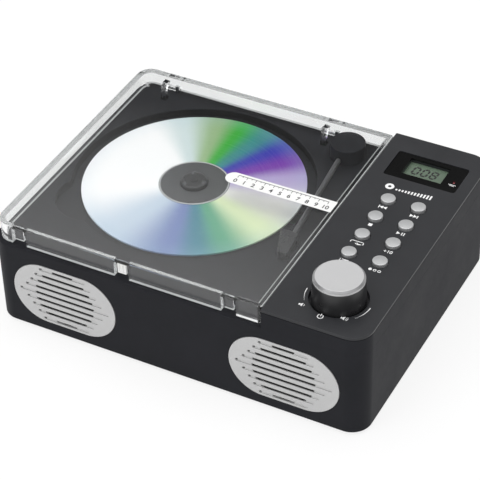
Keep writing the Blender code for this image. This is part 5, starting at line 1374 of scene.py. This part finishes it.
# Two cuts through the arm's ring: the turn in degrees, and the side that stays.
ARM_CUTS = ((120, 1), (262, -1))
PALE_WALL = 0.004
PALE_DEPTH = 0.001
catch_low, catch_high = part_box("lid_catch")
HINGE_Y, HINGE_Z = HINGES[0].y, HINGES[0].z
lid_under = lid_high.z - LID_PLATE
lid_back = HINGE_Y + LID_WALL / 2
NOTCH_STEP = 0.0602
NOTCHES = [middle_of("lid_catch").x + step * NOTCH_STEP for step in (-1, 0, 1)]


def lid_block(name, inset, low, high):
    left, right = lid_low.x + inset, lid_high.x - inset
    piece = block(name, (left, lid_low.y + inset, low), (right, lid_back - inset, high))
    round_edges(piece, LID_CORNER - inset, CORNER_STEPS, upright(left))
    return round_edges(piece, max(LID_RIGHT_CORNER - inset, LID_LEAST_CORNER), 4, upright(right))


clear_lid = lid_block("clear_lid", 0, LID_BOTTOM, lid_high.z)
round_edges(clear_lid, LID_EDGE, 4, level(lid_high.z))
cut(clear_lid, lid_block("lid_hollow", LID_WALL, LID_BOTTOM - OVERRUN, lid_under))
round_edges(clear_lid, LID_INNER_EDGE, 3, lambda e: level(lid_under)(e) and sharp(e))
foot_inside = lid_back - LID_WALL - OVERRUN / 2
cut(clear_lid, block("back_foot", (lid_low.x - OVERRUN, foot_inside, LID_BOTTOM - OVERRUN),
                     (lid_high.x + OVERRUN, lid_back + OVERRUN, HINGE_Z)))
for x in NOTCHES:
    cut(clear_lid, block("notch", (x - NOTCH_WIDTH / 2, lid_low.y - OVERRUN, LID_BOTTOM - OVERRUN),
                         (x + NOTCH_WIDTH / 2, lid_low.y + LID_WALL + OVERRUN, lid_under)))

# %% Hinge knuckles, arms and front tabs


def lid_arm(x):
    """Curved arm round the hinge axis: a ring cut down to the stretch that the lid needs."""
    ring = round_bar("arm", ARM_OUTER, (x - ARM_THICKNESS / 2, HINGE_Y, HINGE_Z), ARM_THICKNESS, "x", 72)
    cut(ring, round_bar("arm_inside", ARM_INNER, (x - ARM_THICKNESS, HINGE_Y, HINGE_Z),
                        2 * ARM_THICKNESS, "x", 72))
    for angle, keep in ARM_CUTS:
        turn = math.radians(angle)
        choose(ring, "FACE", lambda face: True)
        bpy.ops.mesh.bisect(plane_co=(0, HINGE_Y, HINGE_Z), use_fill=True, clear_inner=True,
                            plane_no=(0, -keep * math.sin(turn), keep * math.cos(turn)))
        done()
    return ring


for hinge in HINGES:
    for side in (-1, 1):
        middle = hinge.x + side * EAR_OFFSET
        half = EAR_THICKNESS / 2 + FIT_GAP
        cut(clear_lid, block("ear_room", (middle - half, foot_inside, HINGE_Z - OVERRUN),
                             (middle + half, lid_back + OVERRUN, HINGE_Z + KNUCKLE_RADIUS + FIT_GAP)))
    join(clear_lid, round_bar("knuckle", KNUCKLE_RADIUS, (hinge.x - KNUCKLE_LENGTH / 2, HINGE_Y, HINGE_Z),
                              KNUCKLE_LENGTH, "x", SMALL_SIDES))
    cut(clear_lid, round_bar("knuckle_bore", PIN_BORE, (hinge.x - KNUCKLE_LENGTH, HINGE_Y, HINGE_Z),
                             2 * KNUCKLE_LENGTH, "x", 24))
    join(clear_lid, lid_arm(hinge.x))
tab_front = lid_low.y + (LID_WALL - TAB_THICKNESS) / 2
for x in (NOTCHES[0], NOTCHES[2]):
    join(clear_lid, block("tab", (x - TAB_WIDTH / 2, tab_front, catch_low.z),
                          (x + TAB_WIDTH / 2, tab_front + TAB_THICKNESS, lid_under + FIT_GAP)))
clean(clear_lid)
smooth(clear_lid)
dress(clear_lid, CLEAR_PLASTIC, "lid", "clear_plastic", "lid")
# A pale opaque finish for the rim faces of the clear lid: painted highlight for the bright edge lines.
RIM_PAINTED_HIGHLIGHT = moulded("lid rim with painted highlight", (0.54, 0.55, 0.55), (0.62, 0.63, 0.63), 0.45, 0.6)


def on_pale_rim(face):
    """The faces that get the painted highlight: the lower rim of the lid, and on the right, where the panel
    stands, only its thin edges.
    """
    middle = face.calc_center_median()
    if middle.x > lid_high.x - PALE_WALL:
        return min(abs(face.normal.x), abs(face.normal.z)) > 0.2
    return face.normal.z < -0.99 and middle.z < lid_under - PALE_DEPTH


# The rim faces take the painted highlight.
second_finish(clear_lid, RIM_PAINTED_HIGHLIGHT, on_pale_rim)
print("lid:", len(clear_lid.data.polygons), "faces, plate", LID_PLATE * 1000, "mm thick")

# %% [markdown]
# The front catch is a white tongue with two ribs behind the middle notch, and a white label runs
# across the lid from the spindle to the panel. Its own print isn't kept: it carries a plain
# numbered scale instead.

# %% Catch
RIB_PLACE_SHARE = 0.21
GROOVE_HALF = 0.00045
GROOVE_MARGIN = 0.0009
CATCH_GROOVE_DEPTH = 0.0005
CATCH_EDGE = 0.00025
catch = block("front_catch", catch_low, catch_high)
choose(catch, "FACE", lambda face: face.normal.y < -0.9)
bpy.ops.mesh.bisect(plane_co=((catch_low.x * 2 + catch_high.x) / 3, 0, 0), plane_no=(1, 0, 0))
done()
for side in (-1, 1):
    x = (catch_low.x + catch_high.x) / 2 + side * (catch_high.x - catch_low.x) * RIB_PLACE_SHARE
    cut(catch, block("groove", (x - GROOVE_HALF, catch_low.y - OVERRUN, catch_low.z + GROOVE_MARGIN),
                     (x + GROOVE_HALF, catch_low.y + CATCH_GROOVE_DEPTH, catch_high.z - GROOVE_MARGIN)))
round_edges(catch, CATCH_EDGE, 2, sharp)
smooth(clean(catch))
dress(catch, WHITE_PLASTIC, "lid", "white_plastic", "lid_catch")

# %% Label
LABEL_LEFT, LABEL_RIGHT = -0.0137, 0.0485
LABEL_FRONT, LABEL_BACK = 0.0024, 0.0116
LABEL_THICKNESS = 0.00008
LABEL_LIFT = 0.00001
label_radius = (LABEL_BACK - LABEL_FRONT) / 2
label_middle = (LABEL_FRONT + LABEL_BACK) / 2
label_outline = arc_points(LABEL_LEFT + label_radius, label_middle, label_radius, 90, 270, 24)
label_outline += [(LABEL_RIGHT, LABEL_FRONT), (LABEL_RIGHT, LABEL_BACK)]
label = ink_outlines("lid_label", [label_outline], lid_high.z + LABEL_LIFT, LABEL_THICKNESS)
LABEL_WHITE = moulded("white label film", (0.80, 0.80, 0.79), (0.85, 0.85, 0.84), 0.3, 0.4)
dress(label, LABEL_WHITE, "lid", "white_plastic")
label_top = lid_high.z + LABEL_LIFT + LABEL_THICKNESS + INK_LIFT
SCALE_FIGURES = 10
SCALE_LEFT_ROOM, SCALE_RIGHT_ROOM = 0.0062, 0.0042
SCALE_LINE_UP, SCALE_TICKS_UP = 0.0029, 0.0027
SCALE_LINE_WIDTH, TICK_WIDTH = 0.00035, 0.0003
LONG_TICK, SHORT_TICK = 0.0017, 0.0008
FIGURE_SIZE, FIGURE_BOLD, FIGURE_DROP = 0.0040, 0.00006, 0.0019
scale_first, scale_last = LABEL_LEFT + SCALE_LEFT_ROOM, LABEL_RIGHT - SCALE_RIGHT_ROOM
scale_step = (scale_last - scale_first) / SCALE_FIGURES
scale = [bar((scale_first + scale_last) / 2, label_middle + SCALE_LINE_UP, scale_last - scale_first,
             SCALE_LINE_WIDTH)]
for index in range(SCALE_FIGURES * 2 + 1):
    tall = LONG_TICK if index % 2 == 0 else SHORT_TICK
    scale.append(bar(scale_first + index * scale_step / 2, label_middle + SCALE_TICKS_UP - tall / 2,
                     TICK_WIDTH, tall))
label_marks = [ink_outlines("label_scale", scale, label_top)]
for index in range(SCALE_FIGURES + 1):
    label_marks.append(flat_text("label_figure_" + str(index), str(index), scale_first + index * scale_step,
                                 label_middle - FIGURE_DROP, FIGURE_SIZE, label_top, bold=FIGURE_BOLD))
for mark in label_marks:
    dress(mark, BLACK_INK, "lid", "white_plastic")
print("label", round((LABEL_RIGHT - LABEL_LEFT) * 1000, 1), "mm long with", len(label_marks), "marks")

# %% [markdown]
# ## Disc and turntable
# A compact disc is a clear plate with a thin mirror on it. The mirror stops short of the hole,
# so the middle is see-through and shows the dark hub below. The two zones are two pieces here: a
# mirrored ring and a ring with the dark colour that shows through the clear middle. A raised
# stacking ring lies just inside their border.

# %% Disc
DISC_EDGE = 0.00025
ZONE_GAP = 0.00002
HOLE_RADIUS = 0.0075
ZONE_DROP = 0.00005
ZONE_EDGE = 0.0002
STACK_OUTER, STACK_INNER = 0.0187, 0.0180
STACK_HEIGHT = 0.0002
STACK_EDGE = 0.00015


def turned_ring(name, outer, inner, bottom, top):
    """Flat ring round the disc's axis: a round bar whose ends are inset and bridged."""
    piece = well_bar(name, outer, bottom, top)
    choose(piece, "FACE", lambda face: abs(face.normal.z) > 0.9)
    bpy.ops.mesh.inset(thickness=outer - inner, depth=0)
    bpy.ops.mesh.bridge_edge_loops()
    done()
    return clean(piece)


disc_mirror = turned_ring("disc_mirror", DISC_RADIUS, CLEAR_HUB_RADIUS, disc_low.z, disc_high.z)
round_edges(disc_mirror, DISC_EDGE, 3, lambda e: sharp(e)
            and math.dist(ends(e)[0].xy, DISC_MIDDLE.xy) > DISC_RADIUS - TOUCH)
smooth(disc_mirror)
dress(disc_mirror, DISC_FOIL, "turntable", "disc_foil", "compact_disc")
disc_hub_zone = turned_ring("disc_hub_zone", CLEAR_HUB_RADIUS - ZONE_GAP, HOLE_RADIUS,
                            disc_low.z, disc_high.z - ZONE_DROP)
round_edges(disc_hub_zone, ZONE_EDGE, 2, sharp)
smooth(disc_hub_zone)
dress(disc_hub_zone, DISC_CLEAR_HUB, "turntable", "disc_foil", "compact_disc")
stacking_ring = turned_ring("disc_stacking_ring", STACK_OUTER, STACK_INNER,
                            disc_high.z - STACK_HEIGHT, disc_high.z + STACK_HEIGHT)
round_edges(stacking_ring, STACK_EDGE, 2, level(disc_high.z + STACK_HEIGHT))
smooth(stacking_ring)
# The clear stacking ring is painted pale grey: a painted highlight for the light line it shows.
RING_PAINTED_HIGHLIGHT = moulded("stacking ring with painted highlight", (0.46, 0.47, 0.47), (0.54, 0.55, 0.55), 0.1, 0.2,
                    grain=300.0, depth=0.000001)
dress(stacking_ring, RING_PAINTED_HIGHLIGHT, "turntable", "disc_foil")

# %% Hub
hub_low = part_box("turntable_hub")[0]
HUB_FLANGE = 0.0155
HUB_CAP_RADIUS = 0.0072
HUB_CAP_TOP = disc_high.z + 0.0022
HUB_CHAMFER = 0.0012
BALL_RADIUS = 0.0014
SPINDLE_OVERLAP = 0.0001
HUB_CAP_ROOT = 0.001
FLANGE_THICKNESS = 0.0020
COLLAR_RADIUS = 0.0040
COLLAR_DEPTH = 0.0065
SHAFT_RADIUS = 0.0010
# Ring by ring from the cap's edge to its middle: the width and the rise of each step.
HUB_CAP_STEPS = ((0.0012, 0), (0.0003, -0.0003), (0.0024, 0), (0.0002, 0.0004))
HUB_GREY = moulded("dark grey hub", (0.010, 0.0105, 0.011), (0.014, 0.0145, 0.015), 0.25, 0.38)
flange_top = disc_low.z - FIT_GAP
spindle = well_bar("hub_cap", HUB_CAP_RADIUS, flange_top - HUB_CAP_ROOT, HUB_CAP_TOP, sides=64)
round_edges(spindle, HUB_CHAMFER, 3, level(HUB_CAP_TOP))
stepped(spindle, lambda face: face.normal.z > 0.99 and at(face.calc_center_median().z, HUB_CAP_TOP),
        HUB_CAP_STEPS)
join(spindle, well_bar("flange", HUB_FLANGE, flange_top - FLANGE_THICKNESS, flange_top, sides=96),
     well_bar("collar", COLLAR_RADIUS, flange_top - COLLAR_DEPTH,
              flange_top - FLANGE_THICKNESS + SPINDLE_OVERLAP, sides=32),
     well_bar("shaft", SHAFT_RADIUS, hub_low.z, flange_top - COLLAR_DEPTH + SPINDLE_OVERLAP, sides=24))
smooth(clean(spindle))
dress(spindle, HUB_GREY, "turntable", "grey_plastic", "turntable_hub")


def chuck_ball(index):
    turn = 2 * math.pi * index / 3
    reach = HUB_CAP_RADIUS - BALL_RADIUS
    bpy.ops.object.select_all(action="DESELECT")
    bpy.ops.mesh.primitive_uv_sphere_add(
        segments=24, ring_count=16, radius=BALL_RADIUS,
        location=(DISC_MIDDLE.x + reach * math.cos(turn), DISC_MIDDLE.y + reach * math.sin(turn),
                  HUB_CAP_TOP - BALL_RADIUS / 2))
    ball = named("chuck_ball_" + str(index))
    choose(ball, "VERT", lambda vertex: vertex.co.z < HUB_CAP_TOP - BALL_RADIUS * 0.9)
    bpy.ops.transform.resize(value=(0.8, 0.8, 1), center_override=ball.bound_box[0])
    done()
    return dress(smooth(clean(ball)), GREY_PLASTIC, "turntable", "grey_plastic")


chuck_balls = [chuck_ball(index) for index in range(3)]
print("disc, hub and", len(chuck_balls), "chuck balls")

# %% [markdown]
# ## Imitation tonearm
# The arm only decorates the deck. A round drum stands in the back corner, a straight rod reaches
# forward over the disc's edge, and a wedge-shaped head ends it. All three stand still.

# %% Drum, rod and head
rod_low, rod_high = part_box("tonearm_rod")
head_low, head_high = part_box("tonearm_head")
DRUM_EDGE = 0.0004
DRUM_STEPS = ((0.0006, 0), (0.0002, -0.0001))
ROD_EDGE = 0.0003
ROD_RADIUS = 0.00135
ROD_SWING = math.radians(5.5)
HEAD_TIP_WIDTH = 0.0058
HEAD_BACK_WIDTH = 0.0104
HEAD_EDGE = 0.0011
HEAD_TOP_EDGE = 0.0006
ARM_GREY = moulded("dark grey arm", (0.060, 0.061, 0.063), (0.075, 0.076, 0.078), 0.3, 0.4)
HEAD_GREY = moulded("satin grey head", (0.012, 0.0125, 0.0135), (0.016, 0.0165, 0.018), 0.24, 0.34)
drum = round_bar("arm_drum", (drum_high.x - drum_low.x) / 2, over(middle_of("tonearm_drum"), drum_low.z),
                 drum_high.z - drum_low.z)
round_edges(drum, DRUM_EDGE, 4, level(drum_high.z))
stepped(drum, lambda face: face.normal.z > 0.9999, DRUM_STEPS)
smooth(clean(drum))
dress(drum, CASE_BLACK, "housing", "satin_black_plastic", "tonearm_drum")

rod_length = (rod_high.y - rod_low.y - 2 * ROD_RADIUS * math.sin(ROD_SWING)) / math.cos(ROD_SWING)
bpy.ops.object.select_all(action="DESELECT")
bpy.ops.mesh.primitive_cylinder_add(vertices=SMALL_SIDES, radius=ROD_RADIUS, depth=rod_length,
                                    location=(rod_low + rod_high) / 2, rotation=(math.pi / 2, 0, ROD_SWING))
arm_rod = named("arm_rod")
round_edges(arm_rod, ROD_EDGE, 3, sharp)
smooth(clean(arm_rod))
dress(arm_rod, ARM_GREY, "housing", "grey_plastic", "tonearm_rod")

head = block("arm_head", head_low, head_high)
back_middle = head_low.x + HEAD_BACK_WIDTH / 2
tip_middle = head_high.x - HEAD_TIP_WIDTH / 2
box_middle = (head_low.x + head_high.x) / 2
box_width = head_high.x - head_low.x
for is_tip, middle_x, width in ((True, tip_middle, HEAD_TIP_WIDTH), (False, back_middle, HEAD_BACK_WIDTH)):
    y = head_low.y if is_tip else head_high.y
    choose(head, "FACE", lambda face: abs(face.normal.y) > 0.9 and at(face.calc_center_median().y, y))
    bpy.ops.transform.resize(value=(width / box_width, 1, 1), center_override=(box_middle, y, head_low.z))
    bpy.ops.transform.translate(value=(middle_x - box_middle, 0, 0))
    done()
round_edges(head, HEAD_EDGE, 6, lambda e: is_along(e, 2))
round_edges(head, HEAD_TOP_EDGE, 4, level(head_high.z))
smooth(clean(head))
dress(head, HEAD_GREY, "housing", "satin_black_plastic", "tonearm_head")
print("arm rod", round(rod_length * 1000, 1), "mm long")

# %% [markdown]
# ## Loudspeaker grilles
# Each grille is a silver plate with nine rows. A row is a shallow groove over its whole length
# and a slot right through where the round loudspeaker opening lies behind it. The plate is
# thinner there, so the dark opening shows even from above.

# %% Grilles
GROOVE_HALVES = (0.0265, 0.0227, 0.0196, 0.0167, 0.0136)
SLOT_COUNT = 9
SLOT_HEIGHT = 0.00165
GROOVE_DEPTH = 0.0004
GRILLE_SKIN = 0.0005
GRILLE_EDGE = 0.0003
THIN_MARGIN = 0.0002
ROW_MARGIN = 0.0011
SLOT_PITCH = 2 * (SPEAKER_HOLE_RADIUS - ROW_MARGIN) / (SLOT_COUNT - 1)


def make_grille(name, low, high):
    middle = (low + high) / 2
    plate = stadium(name, low, high, 96)
    round_edges(plate, GRILLE_EDGE, 3, at_depth(low.y))
    cut(plate, round_bar("thin", SPEAKER_HOLE_RADIUS - THIN_MARGIN,
                         (middle.x, low.y + GRILLE_SKIN, middle.z), DRILL_LENGTH, "y", 64))
    for index in range(SLOT_COUNT):
        row = index - (SLOT_COUNT - 1) // 2
        z = middle.z + row * SLOT_PITCH
        reach = math.sqrt(SPEAKER_HOLE_RADIUS ** 2 - (z - middle.z) ** 2)
        groove = GROOVE_HALVES[abs(row)]
        bottom, top = z - SLOT_HEIGHT / 2, z + SLOT_HEIGHT / 2
        front = low.y - OVERRUN
        cut(plate, stadium("groove", (middle.x - groove, front, bottom),
                           (middle.x + groove, low.y + GROOVE_DEPTH, top), 24),
            stadium("slot", (middle.x - reach, front, bottom), (middle.x + reach, high.y, top), 24),
            round_bar("end_hole", SLOT_HEIGHT * 0.42, (middle.x - groove + SLOT_HEIGHT / 2, front, z),
                      DRILL_LENGTH, "y", 16))
    smooth(clean(plate))
    return plate


grille_right = make_grille("grille_plate_right", *GRILLES["right"])
alone(grille_right)
bpy.ops.object.duplicate(linked=False)
bpy.ops.transform.translate(value=(GRILLES["left"][0].x - GRILLES["right"][0].x, 0, 0))
grille_left = named("grille_plate_left")
for side, plate in (("left", grille_left), ("right", grille_right)):
    dress(plate, GRILLE_SILVER, "housing", "silver_finish", "grille_" + side)
print("grilles:", SLOT_COUNT, "rows, pitch", round(SLOT_PITCH * 1000, 2), "mm")

# %% [markdown]
# ## Underside
# A flat cover closes the case from below. It is held by four screws, and four rubber feet keep
# it off the table.

# %% Cover, feet and screws
cover_low, cover_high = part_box("bottom_cover")
COVER_THICKNESS = 0.0020
COVER_EDGE = 0.0003
VENT_COUNT = 7
VENT_LEFT, VENT_STEP = -0.030, 0.010
VENT_WIDTH, VENT_REACH, VENT_DEPTH = 0.003, 0.012, 0.0007
SCREW_HOLE = 0.0015
HEAD_HEIGHT, HEAD_ROUNDING = 0.0010, 0.0003
SHANK_RADIUS, SHANK_START = 0.0012, 0.0009
CROSS_REACH, CROSS_HALF, CROSS_DEPTH = 0.0013, 0.00025, 0.0006
FOOT_EDGE = 0.0005
FOOT_STEPS = ((0.0012, 0), (0.0003, -0.0003))
BOARD_POST_XS, BOARD_POST_YS = (-0.0003, 0.0827), (-0.0350, 0.0697)
BOARD_POST_RADIUS, BOARD_POST_START = 0.0025, 0.0018
bottom_cover = rounded_block("cover_plate", cover_low,
                             (cover_high.x, cover_high.y, cover_low.z + COVER_THICKNESS),
                             CASE_CORNER - CASE_WALL - FIT_GAP)
round_edges(bottom_cover, COVER_EDGE, 2, level(cover_low.z))
for index in range(VENT_COUNT):
    x = VENT_LEFT + index * VENT_STEP
    cut(bottom_cover, block("vent_groove", (x, -VENT_REACH, cover_low.z - OVERRUN),
                            (x + VENT_WIDTH, VENT_REACH, cover_low.z + VENT_DEPTH)))


def make_screw(corner):
    low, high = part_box("cover_screw_" + corner)
    x, y = (low.x + high.x) / 2, (low.y + high.y) / 2
    cut(bottom_cover, round_bar("screw_hole", SCREW_HOLE, (x, y, cover_low.z - OVERRUN),
                                DRILL_LENGTH, "z", 24))
    screw = round_bar("screw_" + corner, (high.x - low.x) / 2, (x, y, low.z), HEAD_HEIGHT, "z", 32)
    round_edges(screw, HEAD_ROUNDING, 3, level(low.z))
    join(screw, round_bar("shank", SHANK_RADIUS, (x, y, low.z + SHANK_START),
                          high.z - low.z - SHANK_START, "z", 24))
    for half_x, half_y in ((CROSS_REACH, CROSS_HALF), (CROSS_HALF, CROSS_REACH)):
        cut(screw, block("cross", (x - half_x, y - half_y, low.z - OVERRUN),
                         (x + half_x, y + half_y, low.z + CROSS_DEPTH)))
    return dress(smooth(clean(screw)), STEEL, "housing", "steel", "cover_screw_" + corner)


def make_foot(corner):
    low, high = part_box("foot_" + corner)
    foot = round_bar("rubber_foot_" + corner, (high.x - low.x) / 2,
                     over(middle_of("foot_" + corner), low.z), high.z - low.z, "z", 64)
    round_edges(foot, FOOT_EDGE, 4, level(low.z))
    stepped(foot, lambda face: face.normal.z < -0.9999, FOOT_STEPS)
    return dress(smooth(clean(foot)), RUBBER, "housing", "rubber", "foot_" + corner)


for corner in CORNERS:
    make_screw(corner)
    make_foot(corner)
for x in BOARD_POST_XS:
    for y in BOARD_POST_YS:
        join(bottom_cover, round_bar("board_post", BOARD_POST_RADIUS,
                                     (x, y, cover_low.z + BOARD_POST_START),
                                     cover_high.z - cover_low.z - BOARD_POST_START, "z", 24))
smooth(clean(bottom_cover))
dress(bottom_cover, CASE_BLACK, "housing", "satin_black_plastic", "bottom_cover")
print("cover with", len(CORNERS), "screws and feet")

# %% [markdown]
# ## Sockets at the back
# Each socket is a small black body on the main board whose round mouth comes through the wall.

# %% Sockets
SOCKET_BORE_DEPTH = 0.0095
SOCKET_EDGE = 0.0003
MOUTH_EDGE = 0.0002
SOCKET_ROOT = 0.001
SOCKET_BORES = {"power_inlet": 0.0029, "audio_socket": 0.0018}
SOCKET_PINS = {"power_inlet": 0.0009}
body_back = case_high.y - CASE_WALL - FIT_GAP
for name, bore in SOCKET_BORES.items():
    low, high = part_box(name)
    x, z = middle_of(name).x, middle_of(name).z
    socket = block(name + "_body", low, (high.x, body_back, high.z))
    round_edges(socket, SOCKET_EDGE, 2, sharp)
    join(socket, round_bar("nozzle", NOZZLES[name], (x, body_back - SOCKET_ROOT, z),
                           high.y - body_back + SOCKET_ROOT, "y", 48))
    round_edges(socket, MOUTH_EDGE, 2, at_depth(high.y))
    bore_end = high.y - SOCKET_BORE_DEPTH
    cut(socket, round_bar("bore", bore, (x, bore_end, z), 2 * DRILL_LENGTH, "y", 48))
    if name in SOCKET_PINS:
        join(socket, round_bar("pin", SOCKET_PINS[name], (x, bore_end - SOCKET_ROOT, z),
                               SOCKET_BORE_DEPTH, "y", 24))
    smooth(clean(socket))
    dress(socket, GLOSS_BLACK, "housing", "gloss_black_plastic", name)

# %% [markdown]
# ## Pieces that keep their construction shape
# The working parts inside already have their true shape. They keep it, get a finish, and have
# their sharp corners broken by a small live bevel.

# %% Finishes of the inner pieces
LAMP_RED = moulded("red lamp", (0.75, 0.05, 0.06), (0.85, 0.09, 0.10), 0.15, 0.25,
                   grain=500.0, depth=0.000002)
set_inputs(LAMP_RED.node_tree.nodes["Principled BSDF"],
           Emission_Color=(1.0, 0.38, 0.42, 1.0), Emission_Strength=0.9)
LENS_CLEAR = make_clear("clear lens", (0.9, 0.95, 1.0), 0.02)
NODE_FINISHES = {
    "circuit_board": BOARD_GREEN, "cone_paper": PAPER, "steel": STEEL, "rubber": RUBBER,
    "grey_plastic": GREY_PLASTIC, "clear_plastic": LENS_CLEAR, "lamp_red": LAMP_RED,
}
slots = {part["node"]: part["material_slot"] for part in frame["record"]["subparts"]}
replaced = ("case bottom_cover control_panel display_window knob_skirt knob_cap lid lid_catch compact_disc "
            "turntable_hub tonearm_drum tonearm_rod tonearm_head grille_left grille_right power_inlet "
            "audio_socket").split()
kept = [name for name in frame["nodes"] if name not in replaced
        and not name.startswith(("button_", "foot_", "cover_screw_"))]
DISPLAY_GLASS = make_display_glass()
INNER_EDGE = 0.0001
for name in kept:
    node = frame["nodes"][name]
    node.data.materials.clear()
    node.data.materials.append(NODE_FINISHES.get(slots[name], DISPLAY_GLASS))
    weld = node.modifiers.new("weld", "WELD")
    weld.merge_threshold = MERGE_STEP
    edge = node.modifiers.new("broken edge", "BEVEL")
    edge.width = INNER_EDGE
    edge.segments = 2
    edge.limit_method = "ANGLE"
    edge.angle_limit = math.radians(50)
print(len(kept), "inner pieces dressed:", ", ".join(sorted(kept)))

# %% [markdown]
# ## Floor and light
# The player stands on a plain white table top under a white dome, with one large soft lamp
# overhead and a small one at the front and at the right. A dim band runs round the dome where
# the clear lid mirrors it, so the back of the deck stays dark and the front gets a pale sheen. Its
# upper edge is slanted, so that the sheen grows towards the front left.

# %% Floor and world
FLOOR_SIZE = 8.0
FLOOR_GLOW_SHARE = 0.8


def make_floor_finish():
    """White top that shows as nearly plain white from every side, yet takes a real shadow."""
    finish, tree, shader = new_finish("white table top", 0.8, specular=0.2)
    handled(tree, shader, 0.75, 0.9)
    set_inputs(shader, Base_Color=(0.93, 0.93, 0.93, 1.0))
    rays = add_node(tree, "ShaderNodeLightPath").outputs
    seen = math_node(tree, "MAXIMUM", rays["Is Camera Ray"], rays["Is Transmission Ray"])
    seen = math_node(tree, "MAXIMUM", seen, rays["Is Glossy Ray"])
    glow = add_node(tree, "ShaderNodeEmission")
    set_inputs(glow, Color=(1, 1, 1, 1), Strength=1.0)
    blend_shaders(tree, math_node(tree, "MULTIPLY", seen, FLOOR_GLOW_SHARE), shader, glow)
    return finish


bpy.ops.object.select_all(action="DESELECT")
bpy.ops.mesh.primitive_plane_add(size=FLOOR_SIZE, location=(0, 0, 0))
floor = named("floor")
floor.data.materials.append(make_floor_finish())

# Heights on the dome, as shares of straight up, between which the dim band fades in and out.
BAND_LIGHT = 0.13
BAND_FOOT = (0.242, 0.375)
BAND_HEAD = (0.700, 0.762)
# What is added to the height, from one place to another across the dome, for the upper edge.
BAND_SLANT_RISE = (0.15, 0.09)
BAND_SLANT_SPAN = (-0.5, -0.3)
world = bpy.data.worlds.new("studio")
world.use_nodes = True
bpy.context.scene.world = world
world_tree = world.node_tree
direction = add_node(world_tree, "ShaderNodeSeparateXYZ")
view = add_node(world_tree, "ShaderNodeTexCoord")
world_tree.links.new(view.outputs["Generated"], direction.inputs["Vector"])
slant = spread(world_tree, direction.outputs["X"], *BAND_SLANT_RISE, *BAND_SLANT_SPAN)
slanted = math_node(world_tree, "ADD", direction.outputs["Z"], slant)
below_band = spread(world_tree, direction.outputs["Z"], 1.0, BAND_LIGHT, *BAND_FOOT)
above_band = spread(world_tree, slanted, BAND_LIGHT, 1.0, *BAND_HEAD)
dome = math_node(world_tree, "MAXIMUM", below_band, above_band)
world_path = add_node(world_tree, "ShaderNodeLightPath")
strength = math_node(world_tree, "MAXIMUM", world_path.outputs["Is Camera Ray"], dome)
background = world_tree.nodes["Background"]
set_inputs(background, Color=(1, 1, 1, 1))
world_tree.links.new(strength, background.inputs["Strength"])

# %% Lamps


def soft_lamp(name, place, target, width, height, power):
    data = bpy.data.lights.new(name, "AREA")
    data.shape = "RECTANGLE"
    data.size, data.size_y, data.energy = width, height, power
    lamp = bpy.data.objects.new(name, data)
    lamp.location = place
    lamp.rotation_euler = (Vector(place) - Vector(target)).to_track_quat("Z", "Y").to_euler()
    bpy.context.scene.collection.objects.link(lamp)
    return lamp


soft_lamp("top_softbox", (0.05, -0.15, 1.4), (0, 0, 0.05), 2.0, 2.0, 13.0)
soft_lamp("right_softbox", (1.3, 0.1, 0.7), (0, 0, 0.05), 0.8, 0.8, 1.5)
soft_lamp("front_softbox", (-0.6, -1.3, 0.7), (0, 0, 0.05), 0.8, 0.8, 4.0)
